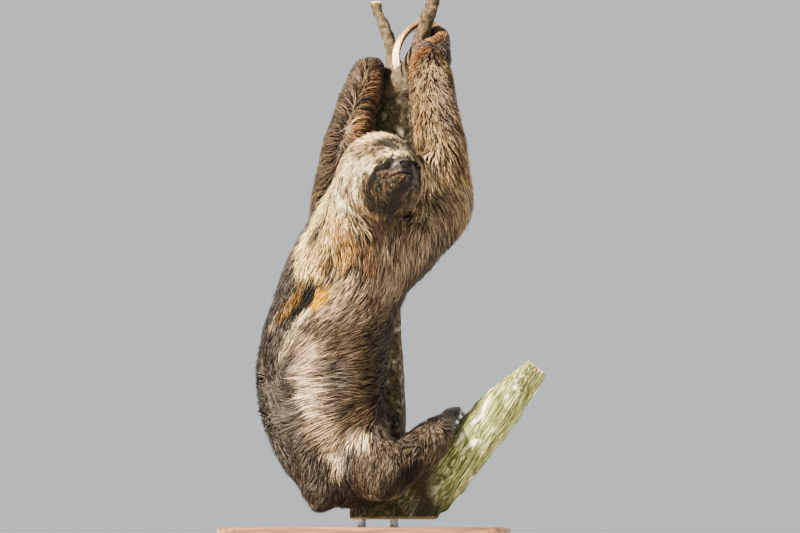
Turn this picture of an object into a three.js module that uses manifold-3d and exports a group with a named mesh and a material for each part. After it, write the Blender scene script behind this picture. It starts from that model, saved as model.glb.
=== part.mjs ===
// A brown-throated three-toed sloth, life size, hugging the cut length of a forked trunk that a display stand holds.
// Millimetres, +Z up. The origin is the middle of the stand's underside, and the animal's back is towards -X -Y.
//
// The animal is a set of fields: a field is a function of x, y, z that is negative inside the flesh, out to the coat's
// tips. Its pieces are meshed from those fields one by one and parted at the joints by thin cuts.

import * as THREE from 'three';
import { mergeVertices } from 'three/addons/utils/BufferGeometryUtils.js';
import Module from 'manifold-3d';

const wasm = await Module();
wasm.setup();

// ---------------------------------------------------------------------------------------------------------------
// Driving dimensions
// ---------------------------------------------------------------------------------------------------------------

const CUT = 0.6; // width of the cut between two neighbouring pieces
const ROOM = 3; // between the coat and the bark, and between an arm and the cheek
const SOFTNESS = 20; // how widely two limbs melt into each other
const KNUCKLE_RADIUS = 8;
const KNUCKLE_WIDTH = 30;
const SHOULDER_RADIUS = { right: 66, left: 54 };
const HIP_RADIUS = 47;
const BEYOND = 900; // longer than any limb
const STEP = { // size of a mesh cell along X, Y and Z
  head: [10.5, 10.5, 10.5],
  neck: [22, 22, 22],
  torso: [33, 33, 38],
  arm: [19, 19, 27],
  leg: [20, 20, 20],
  hand: [13, 13, 13],
  perchTrunk: [20, 20, 55],
  perchLimb: [24, 24, 24],
  perchFork: [10, 10, 17],
};

const BASE = { length: 380, width: 300, height: 20, corner: 36, bevel: 2 };
const ROD = { radius: 6, spacing: 44, depthInBase: 12, depthInPerch: 26, play: 0.4 };
const PERCH_FOOT = 31; // height of the sawn foot of the perch
const PERCH_TOP = 752; // height of the sawn ends of its two upper limbs

const HEAD = { centre: [23, -102, 482], turn: 33, lift: 14.5, reach: 58 }; // degrees to the side of -Y, and above level
const EYE = { radii: [6, 6, 6], place: [43, 23, -6] }; // forward, to the side, and up from the head's centre
const NOSE = { radii: [6, 10, 7], place: [58, 0, -9] };
const SOCKET_PLAY = 0.4;
const HAND_CLAW = { length: 76, radius: 5.2 };
const FOOT_CLAW = { length: 60, radius: 4.2 };
const CLAW_SPACING = 9.5;
const CLAW_FLATNESS = 0.72; // width over depth
const CLAW_PINCH = 0.12; // how far the tips of a hand's claws close up

// Each entry is a ball [x, y, z, radius] on the centre line of a limb, and a limb is the hull of each two in turn.
const SPINE = [
  [23, -22, 405, 69],
  [-27, -26, 355, 79],
  [-42, -30, 308, 83.5],
  [-53, -30, 254, 89],
  [-61, -28, 215, 89],
  [-57, -26, 175, 84],
  [-42, -22, 135, 76],
  [-26, -20, 101, 64],
  [-17, -18, 84, 47],
];
const NECK = [
  [23, -102, 482, 46],
  [2, -70, 442, 57],
  [-12, -38, 406, 66],
  [-27, -26, 355, 74],
];
const TAIL = [
  [-50, -44, 86, 22],
  [-56, -56, 72, 19],
  [-63, -72, 48, 12],
];
const ARM = {
  right: [[52, -30, 400, 57], [97, -46, 449, 52], [100, -70, 519, 38], [91, -38, 592, 33], [83, -2, 641, 32]],
  left: [[-35, 28, 405, 46], [-43, 26, 455, 34], [-32, 22, 519, 32.5], [-13, 44, 588, 31.5], [3, 64, 638, 27]],
};
const HAND = {
  right: [[83, -2, 641, 32], [97, 24, 670, 20], [103, 42, 690, 15], [92, 53, 704, 12], [78, 55, 708, 10]],
  left: [[3, 64, 638, 27], [9, 84, 642, 18], [17, 100, 643, 13], [25, 108, 643, 10]],
};
const LEG = {
  right: [[-20, -40, 142, 52], [28, -88, 84, 34], [84, -28, 131, 27]],
  left: [[-72, 4, 138, 52], [-60, 88, 94, 36], [-9, 136, 120, 27]],
};
const FOOT = {
  right: [[84, -28, 131, 27], [103, -8, 154, 18], [115, 16, 170, 12], [119, 27, 171, 10]],
  left: [[-9, 136, 120, 27], [22, 131, 132, 17], [38, 120, 137, 12], [44, 117, 138, 10]],
};
const PERCH = {
  trunk: [[17, 36, 0, 48], [20, 40, 30, 45], [22, 58, 84, 38], [29, 82, 152, 31], [26, 91, 262, 28],
    [20, 92, 325, 27], [28, 91, 412, 27], [37, 88, 539, 31], [40.5, 84, 614, 24]],
  low: [[31, 36, 27, 42], [87, 28, 70, 37], [141, 28, 127, 35], [188, 32, 191, 33], [240, 36, 266, 31]],
  right: [[41, 84, 614, 20], [73, 42, 674, 13], [82, 24, 703, 12.5], [104, 6, 772, 11]],
  left: [[41, 84, 614, 20], [38, 100, 671, 12], [29, 107, 704, 10.5], [4, 114, 772, 9.5]],
};
const LIMB_END = [222, 35, 240]; // where the lower limb is sawn off

// The grip of a hand or foot: its claws lie on a circle about centre, start on the side out, and run towards.
const GRIP = {
  hand_right: {
    centre: [95, 54, 656], out: [-0.43, 0, 0.9], towards: [-0.85, -0.35, -0.41], radius: 56, claw: HAND_CLAW,
  },
  hand_left: { centre: [44, 84, 643], out: [-0.62, 0.78, 0], towards: [0.78, 0.62, 0], radius: 32, claw: HAND_CLAW },
  foot_right: { centre: [155, 30, 145], out: [-0.81, 0, 0.59], towards: [0, 1, 0], radius: 43, claw: FOOT_CLAW },
  foot_left: { centre: [28, 78, 138], out: [0.41, 0.91, 0], towards: [0.91, -0.41, 0], radius: 41, claw: FOOT_CLAW },
};

const COLOURS = {
  coat: 0x9c8468, pale: 0xcabfa6, dark: 0x6b5644, claw: 0xd9c9a0, eye: 0x1a120d, nose: 0x2b2422,
  bark: 0x6e6a55, limb: 0x8a8f5c, base: 0x3a2a20, steel: 0xa8aaac,
};

// ---------------------------------------------------------------------------------------------------------------
// Fields
// ---------------------------------------------------------------------------------------------------------------

const UP = new THREE.Vector3(0, 0, 1);
const SIDES = ['right', 'left'];
const vector = ([x, y, z]) => new THREE.Vector3(x, y, z);
const mix = (a, b, t) => a.map((value, i) => value + (b[i] - value) * t);

function frameOfHead({ centre, turn, lift }) {
  const a = THREE.MathUtils.degToRad(turn);
  const b = THREE.MathUtils.degToRad(lift);
  const forward = new THREE.Vector3(Math.sin(a) * Math.cos(b), -Math.cos(a) * Math.cos(b), Math.sin(b));
  const left = new THREE.Vector3(Math.cos(a), Math.sin(a), 0);
  return { centre: vector(centre), forward, left, up: new THREE.Vector3().crossVectors(forward, left) };
}

/** Where the claws of a grip start, and the directions that they head in and lie side by side in. */
function frameOfGrip({ centre, out, towards, radius }) {
  const outward = vector(out).normalize();
  const heading = vector(towards).normalize();
  const across = new THREE.Vector3().crossVectors(outward, heading).normalize();
  return { outward, heading, across, root: vector(centre).addScaledVector(outward, radius) };
}

const headFrame = frameOfHead(HEAD);

/** The hull of two balls, [x, y, z, radius] each. */
function capsule(a, b) {
  const along = [b[0] - a[0], b[1] - a[1], b[2] - a[2]];
  const squared = along[0] ** 2 + along[1] ** 2 + along[2] ** 2;
  return (x, y, z) => {
    const px = x - a[0];
    const py = y - a[1];
    const pz = z - a[2];
    const t = Math.min(1, Math.max(0, (px * along[0] + py * along[1] + pz * along[2]) / squared));
    return Math.hypot(px - t * along[0], py - t * along[1], pz - t * along[2]) - (a[3] + (b[3] - a[3]) * t);
  };
}

/** A limb through a row of balls. */
function chain(balls) {
  const links = balls.slice(1).map((ball, i) => capsule(balls[i], ball));
  return (x, y, z) => links.reduce((least, link) => Math.min(least, link(x, y, z)), Infinity);
}

/** An ellipsoid in the head's own frame: place and radii run forward, to the animal's left, and up. */
function egg(place, [forward, left, up]) {
  const q = new THREE.Vector3();
  return (x, y, z) => {
    q.set(x, y, z).sub(headFrame.centre);
    const a = q.dot(headFrame.forward) - place[0];
    const b = q.dot(headFrame.left) - place[1];
    const c = q.dot(headFrame.up) - place[2];
    const near = Math.hypot(a / forward, b / left, c / up);
    const slope = Math.hypot(a / (forward * forward), b / (left * left), c / (up * up));
    return (near * (near - 1)) / Math.max(slope, 1e-6);
  };
}

/** Fields that melt into each other over the given width. */
function melt(width, ...parts) {
  return (x, y, z) => parts.map((part) => part(x, y, z)).reduce((a, b) => {
    const share = Math.max(width - Math.abs(a - b), 0) / width;
    return Math.min(a, b) - (share * share * width) / 4;
  });
}

/** The first field without the second one and some room round it. */
const without = (field, other) => (x, y, z) => Math.max(field(x, y, z), ROOM - other(x, y, z));

/** The knuckles of a hand or foot, a bar as wide as its three claws. */
function knuckles(grip) {
  const { root, across } = frameOfGrip(grip);
  const ends = [-CLAW_SPACING, CLAW_SPACING].map((side) => root.clone().addScaledVector(across, side));
  return capsule(...ends.map((end) => [end.x, end.y, end.z, KNUCKLE_RADIUS]));
}

const skull = melt(
  14,
  egg([-4, 0, 4], [50, 53, 50]), // cranium and crown
  egg([0, 0, -21], [46, 51, 36]), // cheeks and throat
  egg([36, 0, -8], [24, 22, 19]), // muzzle
  egg([34, 0, -26], [18, 16, 12]), // chin
);
const perch = melt(16, chain(PERCH.trunk), chain(PERCH.low), chain(PERCH.right), chain(PERCH.left));
const clear = (field) => without(field, perch);
const spine = chain(SPINE);
const headAndNeck = melt(SOFTNESS, skull, chain(NECK));
const headAndNape = melt(SOFTNESS, skull, capsule(NECK[0], NECK[1]));

const fields = {
  head: headAndNeck,
  neck: melt(SOFTNESS, headAndNeck, spine),
  tail: clear(melt(SOFTNESS, spine, chain(TAIL))),
};
const limbRoots = [];
for (const side of SIDES) {
  const arm = melt(SOFTNESS, chain(ARM[side]), chain(HAND[side]), knuckles(GRIP[`hand_${side}`]));
  const leg = melt(SOFTNESS, chain(LEG[side]), chain(FOOT[side]), knuckles(GRIP[`foot_${side}`]));
  const thigh = capsule(LEG[side][0], LEG[side][1]);
  fields[`upper_arm_${side}`] = clear(without(melt(SOFTNESS, spine, arm), headAndNape));
  fields[`lower_arm_${side}`] = clear(without(arm, headAndNape));
  fields[`thigh_${side}`] = clear(melt(SOFTNESS, spine, thigh));
  fields[`lower_leg_${side}`] = clear(without(leg, spine));
  limbRoots.push(chain(ARM[side].slice(0, 3)), thigh);
}
fields.torso = clear(melt(SOFTNESS, spine, chain(NECK.slice(1)), chain(TAIL), ...limbRoots));

// ---------------------------------------------------------------------------------------------------------------
// Solids
// ---------------------------------------------------------------------------------------------------------------

/** Flips the weakest corner of each grid square whose signs lie crosswise, where four faces would share an edge. */
function untangle(values, [nx, ny, nz], stride) {
  for (let flips = 1; flips > 0;) {
    flips = 0;
    for (let at = 0; at < nx * ny * (nz - 1); at++) {
      for (let axis = 0; axis < 3; axis++) {
        const u = stride[axis];
        const v = stride[(axis + 1) % 3];
        const square = [at, at + u, at + u + v, at + v];
        const [a, b, c, d] = square.map((n) => values[n] < 0);
        if (a !== c || b !== d || a === b) continue;
        const weakest = square.reduce((m, n) => (Math.abs(values[n]) < Math.abs(values[m]) ? n : m));
        values[weakest] = -values[weakest];
        flips += 1;
      }
    }
  }
}

/** The surface of a field inside a box, as a mesh with a vertex in each cell that the surface crosses. */
function surfaceNet(field, low, high, step) {
  const [nx, ny, nz] = low.map((from, i) => Math.ceil((high[i] - from) / step[i]) + 1);
  const stride = [1, nx, nx * ny];
  const values = new Float32Array(nx * ny * nz);
  const onEdge = (i, n) => i === 0 || i === n - 1;
  for (let k = 0; k < nz; k++) {
    for (let j = 0; j < ny; j++) {
      for (let i = 0; i < nx; i++) {
        const value = field(low[0] + i * step[0], low[1] + j * step[1], low[2] + k * step[2]);
        const closed = onEdge(i, nx) || onEdge(j, ny) || onEdge(k, nz);
        values[i + j * stride[1] + k * stride[2]] = closed ? step[0] : value;
      }
    }
  }

  untangle(values, [nx, ny, nz], stride);

  const corners = [0, 1, 2, 3, 4, 5, 6, 7].map((c) => [c & 1, (c >> 1) & 1, (c >> 2) & 1]);
  const edges = [];
  corners.forEach((a, i) => corners.forEach((b, j) => {
    if (i < j && Math.abs(a[0] - b[0]) + Math.abs(a[1] - b[1]) + Math.abs(a[2] - b[2]) === 1) edges.push([a, b]);
  }));
  const valueAt = (cell, corner) => values[cell + corner[0] + corner[1] * stride[1] + corner[2] * stride[2]];
  const vertexOf = new Int32Array(values.length).fill(-1);
  const positions = [];
  for (let k = 0; k < nz - 1; k++) {
    for (let j = 0; j < ny - 1; j++) {
      for (let i = 0; i < nx - 1; i++) {
        const cell = i + j * stride[1] + k * stride[2];
        const sum = [0, 0, 0];
        let crossings = 0;
        for (const [a, b] of edges) {
          const va = valueAt(cell, a);
          const vb = valueAt(cell, b);
          if ((va < 0) === (vb < 0)) continue;
          const t = va / (va - vb);
          for (let n = 0; n < 3; n++) sum[n] += a[n] + (b[n] - a[n]) * t;
          crossings += 1;
        }
        if (!crossings) continue;
        vertexOf[cell] = positions.length / 3;
        [i, j, k].forEach((at, n) => positions.push(low[n] + (at + sum[n] / crossings) * step[n]));
      }
    }
  }

  const index = [];
  const corner = (v) => new THREE.Vector3().fromArray(positions, v * 3);
  const quad = (a, b, c, d) => {
    const shortWay = corner(a).distanceTo(corner(c)) <= corner(b).distanceTo(corner(d));
    index.push(...(shortWay ? [a, b, c, a, c, d] : [b, c, d, b, d, a]));
  };
  for (let k = 0; k < nz - 1; k++) {
    for (let j = 0; j < ny - 1; j++) {
      for (let i = 0; i < nx - 1; i++) {
        const cell = i + j * stride[1] + k * stride[2];
        for (let axis = 0; axis < 3; axis++) {
          const inside = values[cell] < 0;
          if (inside === values[cell + stride[axis]] < 0) continue;
          const u = stride[(axis + 1) % 3];
          const v = stride[(axis + 2) % 3];
          const ring = [vertexOf[cell - u - v], vertexOf[cell - v], vertexOf[cell], vertexOf[cell - u]];
          quad(...(inside ? ring : ring.reverse()));
        }
      }
    }
  }
  return new THREE.BufferGeometry()
    .setAttribute('position', new THREE.Float32BufferAttribute(positions, 3))
    .setIndex(index);
}

/** A three.js geometry as a solid that can be joined and cut. */
function solid(geometry) {
  const bare = geometry.clone();
  bare.deleteAttribute('normal');
  bare.deleteAttribute('uv');
  const merged = mergeVertices(bare, 1e-4);
  return new wasm.Manifold(new wasm.Mesh({
    numProp: 3,
    vertProperties: new Float32Array(merged.attributes.position.array),
    triVerts: new Uint32Array(merged.index.array),
  }));
}

/** The largest body of a solid, as a three.js geometry. */
function geometryOf(made) {
  const largest = made.decompose().reduce((a, b) => (b.volume() > a.volume() ? b : a));
  const { vertProperties, triVerts } = largest.getMesh();
  return new THREE.BufferGeometry()
    .setAttribute('position', new THREE.BufferAttribute(vertProperties, 3))
    .setIndex(new THREE.BufferAttribute(triVerts, 1));
}

/** A round bar from one point in a direction. */
function bar(from, direction, radius, length, sides = 12) {
  const geometry = new THREE.CylinderGeometry(radius, radius, length, sides).translate(0, length / 2, 0);
  const turn = new THREE.Quaternion().setFromUnitVectors(new THREE.Vector3(0, 1, 0), direction.clone().normalize());
  return solid(geometry.applyQuaternion(turn).translate(from.x, from.y, from.z));
}

/** A plane that parts two pieces: the outer one lies beyond it within a reach, and the inner one loses a radius. */
function cutTowards(place, direction, radius, reach = radius) {
  const beyond = (shift, width) => bar(
    place.clone().addScaledVector(direction, shift * CUT / 2), direction, width - shift * CUT / 2, BEYOND,
  );
  return { outer: beyond(1, reach), removed: beyond(-1, radius) };
}

/** A cut at a share of the way from ball n of a limb to the next one. */
function cutBetween(balls, n, share, radius) {
  const place = vector(mix(balls[n], balls[n + 1], share));
  return cutTowards(place, vector(balls[n + 1]).sub(vector(balls[n])).normalize(), radius);
}

/** A cut at ball n of a limb, square to the mean of its two bones. */
function cutAtBend(balls, n, radius, reach) {
  const before = vector(balls[n]).sub(vector(balls[n - 1])).normalize();
  const after = vector(balls[n + 1]).sub(vector(balls[n])).normalize();
  return cutTowards(vector(balls[n]), before.add(after).normalize(), radius, reach);
}

/** A piece of a field, inside the box of its balls, beyond its root cut and short of the cuts of what follows. */
function piece(field, balls, step, root, ...next) {
  const low = step.map((size, i) => Math.min(...balls.map((b) => b[i] - b[3])) - 2.5 * size);
  const high = step.map((size, i) => Math.max(...balls.map((b) => b[i] + b[3])) + 2.5 * size);
  let made = solid(surfaceNet(field, low, high, step));
  if (root) made = made.intersect(root.outer);
  for (const cut of next) made = made.subtract(cut.removed);
  return made;
}

/** An ellipsoid on the head, with some play all round it. */
function bead({ place, radii }, play = 0) {
  const { centre, forward, left, up } = headFrame;
  const at = centre.clone()
    .addScaledVector(forward, place[0])
    .addScaledVector(left, place[1])
    .addScaledVector(up, place[2]);
  return solid(new THREE.SphereGeometry(1, 8, 6)
    .scale(...radii.map((radius) => radius + play))
    .applyMatrix4(new THREE.Matrix4().makeBasis(forward, left, up))
    .translate(at.x, at.y, at.z));
}

/** A claw that follows its grip's circle, flattened from side to side and drawn out to a point. */
function claw(grip, offset) {
  const sides = 5;
  const rings = 4;
  const { outward, heading, across } = frameOfGrip(grip);
  const positions = [];
  for (let ring = 0; ring <= rings; ring++) {
    const share = ring / rings;
    const angle = (grip.claw.length / grip.radius) * share;
    const ray = outward.clone().multiplyScalar(Math.cos(angle)).addScaledVector(heading, Math.sin(angle));
    const middle = vector(grip.centre)
      .addScaledVector(ray, grip.radius)
      .addScaledVector(across, offset * (1 - CLAW_PINCH * share));
    const thick = grip.claw.radius * Math.sqrt(1 - 0.96 * share);
    for (let side = 0; side < sides; side++) {
      const turn = (side / sides) * 2 * Math.PI;
      const p = middle.clone()
        .addScaledVector(ray, Math.cos(turn) * thick)
        .addScaledVector(across, Math.sin(turn) * thick * CLAW_FLATNESS);
      positions.push(p.x, p.y, p.z);
    }
  }
  const index = [];
  for (let ring = 0; ring < rings; ring++) {
    for (let side = 0; side < sides; side++) {
      const a = ring * sides + side;
      const b = ring * sides + ((side + 1) % sides);
      index.push(a, b + sides, b, a, a + sides, b + sides);
    }
  }
  for (let side = 1; side < sides - 1; side++) {
    const last = rings * sides;
    index.push(0, side, side + 1, last, last + side + 1, last + side);
  }
  return solid(new THREE.BufferGeometry()
    .setAttribute('position', new THREE.Float32BufferAttribute(positions, 3))
    .setIndex(index));
}

/** A round-cornered board that lies on the floor, with a small bevel. */
function board({ length, width, height, corner, bevel }) {
  const x = length / 2 - bevel;
  const y = width / 2 - bevel;
  const outline = new THREE.Shape();
  outline.moveTo(-x + corner, -y);
  outline.lineTo(x - corner, -y);
  outline.absarc(x - corner, -y + corner, corner, -Math.PI / 2, 0);
  outline.absarc(x - corner, y - corner, corner, 0, Math.PI / 2);
  outline.absarc(-x + corner, y - corner, corner, Math.PI / 2, Math.PI);
  outline.absarc(-x + corner, -y + corner, corner, Math.PI, 1.5 * Math.PI);
  const geometry = new THREE.ExtrudeGeometry(outline, {
    depth: height - 2 * bevel, bevelThickness: bevel, bevelSize: bevel, bevelSegments: 1, curveSegments: 4,
  });
  return solid(geometry.translate(0, 0, bevel));
}

// ---------------------------------------------------------------------------------------------------------------
// The pieces
// ---------------------------------------------------------------------------------------------------------------

const sloth = new THREE.Group();

function add(name, made, color, roughness = 0.95, metalness = 0) {
  const mesh = new THREE.Mesh(geometryOf(made), new THREE.MeshStandardMaterial({ color, roughness, metalness }));
  mesh.name = name;
  sloth.add(mesh);
}

const headCut = cutBetween(NECK.toReversed(), 2, 0.42, 90);
const neckCut = cutBetween(NECK.toReversed(), 1, 0.4, 72);
const tailCut = cutBetween(TAIL, 1, 0, 26);
const cuts = {};
for (const side of SIDES) {
  const knuckleCut = (grip) => {
    const { root, heading } = frameOfGrip(grip);
    return cutTowards(root, heading, KNUCKLE_WIDTH);
  };
  cuts[side] = {
    shoulder: cutBetween(ARM[side], 0, 0.42, SHOULDER_RADIUS[side]),
    elbow: cutAtBend(ARM[side], 2, 60),
    wrist: cutBetween(HAND[side], 0, 0.3, 50),
    fingers: knuckleCut(GRIP[`hand_${side}`]),
    hip: cutBetween(LEG[side], 0, 0.35, HIP_RADIUS),
    knee: cutAtBend(LEG[side], 1, 80, 150),
    ankle: cutBetween(FOOT[side], 0, 0.3, 40),
    toes: knuckleCut(GRIP[`foot_${side}`]),
  };
}

function addHead() {
  const eyes = { right: { ...EYE, place: [EYE.place[0], -EYE.place[1], EYE.place[2]] }, left: EYE };
  let head = piece(fields.head, [[...HEAD.centre, HEAD.reach]], STEP.head, headCut);
  for (const socket of [NOSE, eyes.right, eyes.left]) head = head.subtract(bead(socket, SOCKET_PLAY));
  add('head', head, COLOURS.pale);
  add('nose', bead(NOSE), COLOURS.nose, 0.5);
  for (const side of SIDES) add(`eye_${side}`, bead(eyes[side]), COLOURS.eye, 0.15);
}

function addBody() {
  const { right, left } = cuts;
  const limbs = [right.shoulder, left.shoulder, right.hip, left.hip, right.knee, left.knee];
  const neck = piece(fields.neck, NECK.slice(0, 3), STEP.neck, neckCut, headCut, right.shoulder, left.shoulder);
  add('neck', neck, COLOURS.pale);
  add('torso', piece(fields.torso, SPINE, STEP.torso, null, neckCut, tailCut, ...limbs), COLOURS.coat);
  add('tail', piece(fields.tail, TAIL.slice(1), STEP.hand, tailCut), COLOURS.coat);
}

function addArm(side) {
  const { shoulder, elbow, wrist, fingers } = cuts[side];
  const lower = fields[`lower_arm_${side}`];
  const upperArm = piece(fields[`upper_arm_${side}`], ARM[side].slice(0, 3), STEP.arm, shoulder, elbow);
  add(`upper_arm_${side}`, upperArm, COLOURS.coat);
  add(`forearm_${side}`, piece(lower, ARM[side].slice(2), STEP.arm, elbow, wrist), COLOURS.coat);
  add(`hand_${side}`, piece(lower, HAND[side], STEP.hand, wrist, fingers), COLOURS.dark);
}

function addLeg(side) {
  const { hip, knee, ankle, toes } = cuts[side];
  const lower = fields[`lower_leg_${side}`];
  add(`thigh_${side}`, piece(fields[`thigh_${side}`], LEG[side].slice(0, 2), STEP.leg, hip, knee), COLOURS.coat);
  add(`shank_${side}`, piece(lower, LEG[side].slice(1), STEP.leg, knee, ankle), COLOURS.coat);
  add(`foot_${side}`, piece(lower, FOOT[side], STEP.hand, ankle, toes), COLOURS.dark);
}

function addClaws() {
  for (const [name, grip] of Object.entries(GRIP)) {
    for (let n = 1; n <= 3; n++) add(`claw_${name}_${n}`, claw(grip, (n - 2) * CLAW_SPACING), COLOURS.claw, 0.4);
  }
}

const rodTop = PERCH_FOOT + ROD.depthInPerch;
const rodFoot = BASE.height - ROD.depthInBase;
const rodPlaces = [-0.5, 0.5].map((side) => [PERCH.trunk[0][0] + side * ROD.spacing, PERCH.trunk[0][1]]);
const rodSocket = ([x, y], from, to) => (
  bar(new THREE.Vector3(x, y, from), UP, ROD.radius + ROD.play, to - from)
);

/** The perch: a forked trunk and the lower limb that grows from it, sawn off flat, with sockets for the rods. */
function addPerch() {
  const saw = (place, direction) => bar(place, direction, BEYOND, BEYOND);
  const fork = cutTowards(vector(PERCH.trunk.at(-1)), UP, 150);
  const limb = cutBetween(PERCH.low, 0, 0.9, 60);
  let trunk = piece(perch, PERCH.trunk, STEP.perchTrunk, null, fork, limb)
    .subtract(saw(new THREE.Vector3(0, 0, PERCH_FOOT), UP.clone().negate()));
  for (const place of rodPlaces) trunk = trunk.subtract(rodSocket(place, 0, rodTop + ROD.play));
  add('perch_trunk', trunk, COLOURS.bark);

  const limbAxis = vector(PERCH.low.at(-1)).sub(vector(PERCH.low.at(-2))).normalize();
  const sawnLimb = piece(perch, PERCH.low.slice(1), STEP.perchLimb, limb).subtract(saw(vector(LIMB_END), limbAxis));
  add('perch_limb', sawnLimb, COLOURS.limb);

  for (const side of SIDES) {
    const towardsOther = new THREE.Vector3(side === 'right' ? -1 : 1, 0, 0);
    const split = cutTowards(vector(PERCH.trunk.at(-1)), towardsOther, BEYOND);
    const made = piece(perch, PERCH[side], STEP.perchFork, fork, split)
      .subtract(saw(new THREE.Vector3(0, 0, PERCH_TOP), UP));
    add(`perch_fork_${side}`, made, COLOURS.bark);
  }
}

/** The stand: a flat base and two rods that reach into the foot of the perch. */
function addStand() {
  let base = board(BASE);
  for (const place of rodPlaces) base = base.subtract(rodSocket(place, rodFoot - ROD.play, 2 * BASE.height));
  add('stand_base', base, COLOURS.base, 0.4);
  rodPlaces.forEach(([x, y], i) => {
    const rod = bar(new THREE.Vector3(x, y, rodFoot), UP, ROD.radius, rodTop - rodFoot);
    add(`stand_rod_${i + 1}`, rod, COLOURS.steel, 0.3, 1);
  });
}

addHead();
addBody();
SIDES.forEach(addArm);
SIDES.forEach(addLeg);
addClaws();
addPerch();
addStand();

export default sloth;
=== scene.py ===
"""A three-toed sloth, life size, clinging to a cut length of trunk that a display stand holds.

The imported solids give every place. One skin lies inside the solids of flesh, and combed locks
of solid fur grow from it. Tables are in millimetres, and everything built is in metres.
"""

import math
from itertools import product

import bpy
import numpy as np
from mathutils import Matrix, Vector
from mathutils.bvhtree import BVHTree
from mathutils.kdtree import KDTree


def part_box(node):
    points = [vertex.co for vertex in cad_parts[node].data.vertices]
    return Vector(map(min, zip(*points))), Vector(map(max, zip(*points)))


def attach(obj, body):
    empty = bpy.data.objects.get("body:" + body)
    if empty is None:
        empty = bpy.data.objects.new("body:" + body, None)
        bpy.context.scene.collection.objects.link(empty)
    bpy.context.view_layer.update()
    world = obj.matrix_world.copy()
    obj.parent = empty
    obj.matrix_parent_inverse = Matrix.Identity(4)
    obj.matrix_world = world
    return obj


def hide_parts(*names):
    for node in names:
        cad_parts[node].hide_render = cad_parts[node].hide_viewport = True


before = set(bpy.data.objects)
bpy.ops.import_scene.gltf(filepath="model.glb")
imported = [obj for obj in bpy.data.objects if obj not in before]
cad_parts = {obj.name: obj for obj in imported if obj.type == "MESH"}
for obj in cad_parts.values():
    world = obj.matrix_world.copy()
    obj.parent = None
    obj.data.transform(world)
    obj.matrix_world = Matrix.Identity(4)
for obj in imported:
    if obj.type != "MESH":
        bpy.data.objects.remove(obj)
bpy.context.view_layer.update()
MM = .001


# ---------------------------------------------------------------- the animal's plan

FLESH = ["head", "neck", "torso", "tail"] + [
    f"{part}_{side}" for side in ("right", "left")
    for part in ("upper_arm", "forearm", "hand", "thigh", "shank", "foot")]

# Lines through the body: x, y, z, half thickness over the fur, depth of coat, length of lock.
LINES = {
    "trunk": [(23, -22, 405, 69, 13, 34), (-27, -26, 355, 79, 12, 32), (-42, -30, 308, 83.5, 11, 32),
              (-53, -30, 254, 89, 12, 36), (-61, -28, 215, 89, 12, 36), (-57, -26, 175, 84, 12, 34),
              (-42, -22, 135, 76, 12, 30), (-26, -20, 101, 64, 11, 28), (-17, -18, 84, 47, 10, 26)],
    "neck": [(10, -80, 458, 50, 11, 26), (2, -70, 442, 57, 12, 30), (-12, -38, 406, 66, 12, 32)],
    "tail": [(-50, -44, 86, 22, 7, 20), (-56, -56, 72, 19, 6, 18), (-63, -72, 48, 12, 5, 15)],
    "arm_right": [(52, -30, 400, 57, 12, 32), (97, -46, 449, 52, 12, 32), (100, -70, 519, 38, 10, 30),
                  (91, -38, 592, 33, 8, 26), (83, -2, 641, 32, 7, 20)],
    "arm_left": [(-35, 28, 405, 46, 12, 32), (-43, 26, 455, 34, 10, 30), (-32, 22, 519, 32.5, 9, 28),
                 (-13, 44, 588, 31.5, 8, 24), (3, 64, 638, 27, 6, 18)],
    "hand_right": [(83, -2, 641, 32, 7, 18), (97, 24, 670, 20, 5, 15), (103, 42, 690, 15, 3.6, 12),
                   (92, 53, 704, 12, 2.8, 9), (78, 55, 708, 10, 2, 7)],
    "hand_left": [(3, 64, 638, 27, 6, 16), (9, 84, 642, 18, 4.5, 13), (17, 100, 643, 13, 3, 10),
                  (25, 108, 643, 10, 2, 7)],
    "thigh_right": [(-20, -40, 142, 52, 12, 28), (28, -88, 84, 34, 9, 24)],
    "shank_right": [(28, -88, 84, 34, 9, 24), (84, -28, 131, 27, 6, 17)],
    "foot_right": [(84, -28, 131, 27, 6, 16), (103, -8, 154, 18, 4.5, 13), (115, 16, 170, 12, 3, 10),
                   (119, 27, 171, 10, 2, 7)],
    "thigh_left": [(-72, 4, 138, 52, 12, 28), (-60, 88, 94, 36, 9, 24)],
    "shank_left": [(-60, 88, 94, 36, 9, 24), (-9, 136, 120, 27, 6, 17)],
    "foot_left": [(-9, 136, 120, 27, 6, 16), (22, 131, 132, 17, 4.5, 13), (38, 120, 137, 12, 3, 10),
                  (44, 117, 138, 10, 2, 7)],
}

# The head's own axes: forward along the muzzle, to the animal's left, and up.
HEAD = np.array([23, -102, 482]) * MM
TURN, LIFT = math.radians(33), math.radians(14.5)
FORWARD = np.array([math.sin(TURN) * math.cos(LIFT), -math.cos(TURN) * math.cos(LIFT), math.sin(LIFT)])
LEFTWARD = np.array([math.cos(TURN), math.sin(TURN), 0])
UPWARD = np.cross(FORWARD, LEFTWARD)
HEAD_AXES = np.array([FORWARD, LEFTWARD, UPWARD])
FLAT = np.array([.3, 1, 1])                    # markings on the face go by how they look from ahead

BACKWARD = np.array([-.55, -.83, 0])           # from the spine to the skin of the back
DOWN = np.array([0, 0, -1.])
EYE = {"right": (43, -23, -6), "left": (43, 23, -6)}
EYE_RADIUS = 6
MUZZLE_TIP = (60, 0, -12)


def to_head(points):
    """Points in the head's own axes, in millimetres."""
    return (points - HEAD) @ HEAD_AXES.T / MM


def from_head(*place):
    return HEAD + np.array(place, float) * MM @ HEAD_AXES


def unit(vectors):
    length = np.linalg.norm(vectors, axis=-1, keepdims=True)
    return vectors / np.maximum(length, 1e-9)


def ease(value, start, end):
    """0 before start, 1 after end, and a smooth rise between them."""
    t = np.clip((value - start) / (end - start), 0, 1)
    return t * t * (3 - 2 * t)


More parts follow.
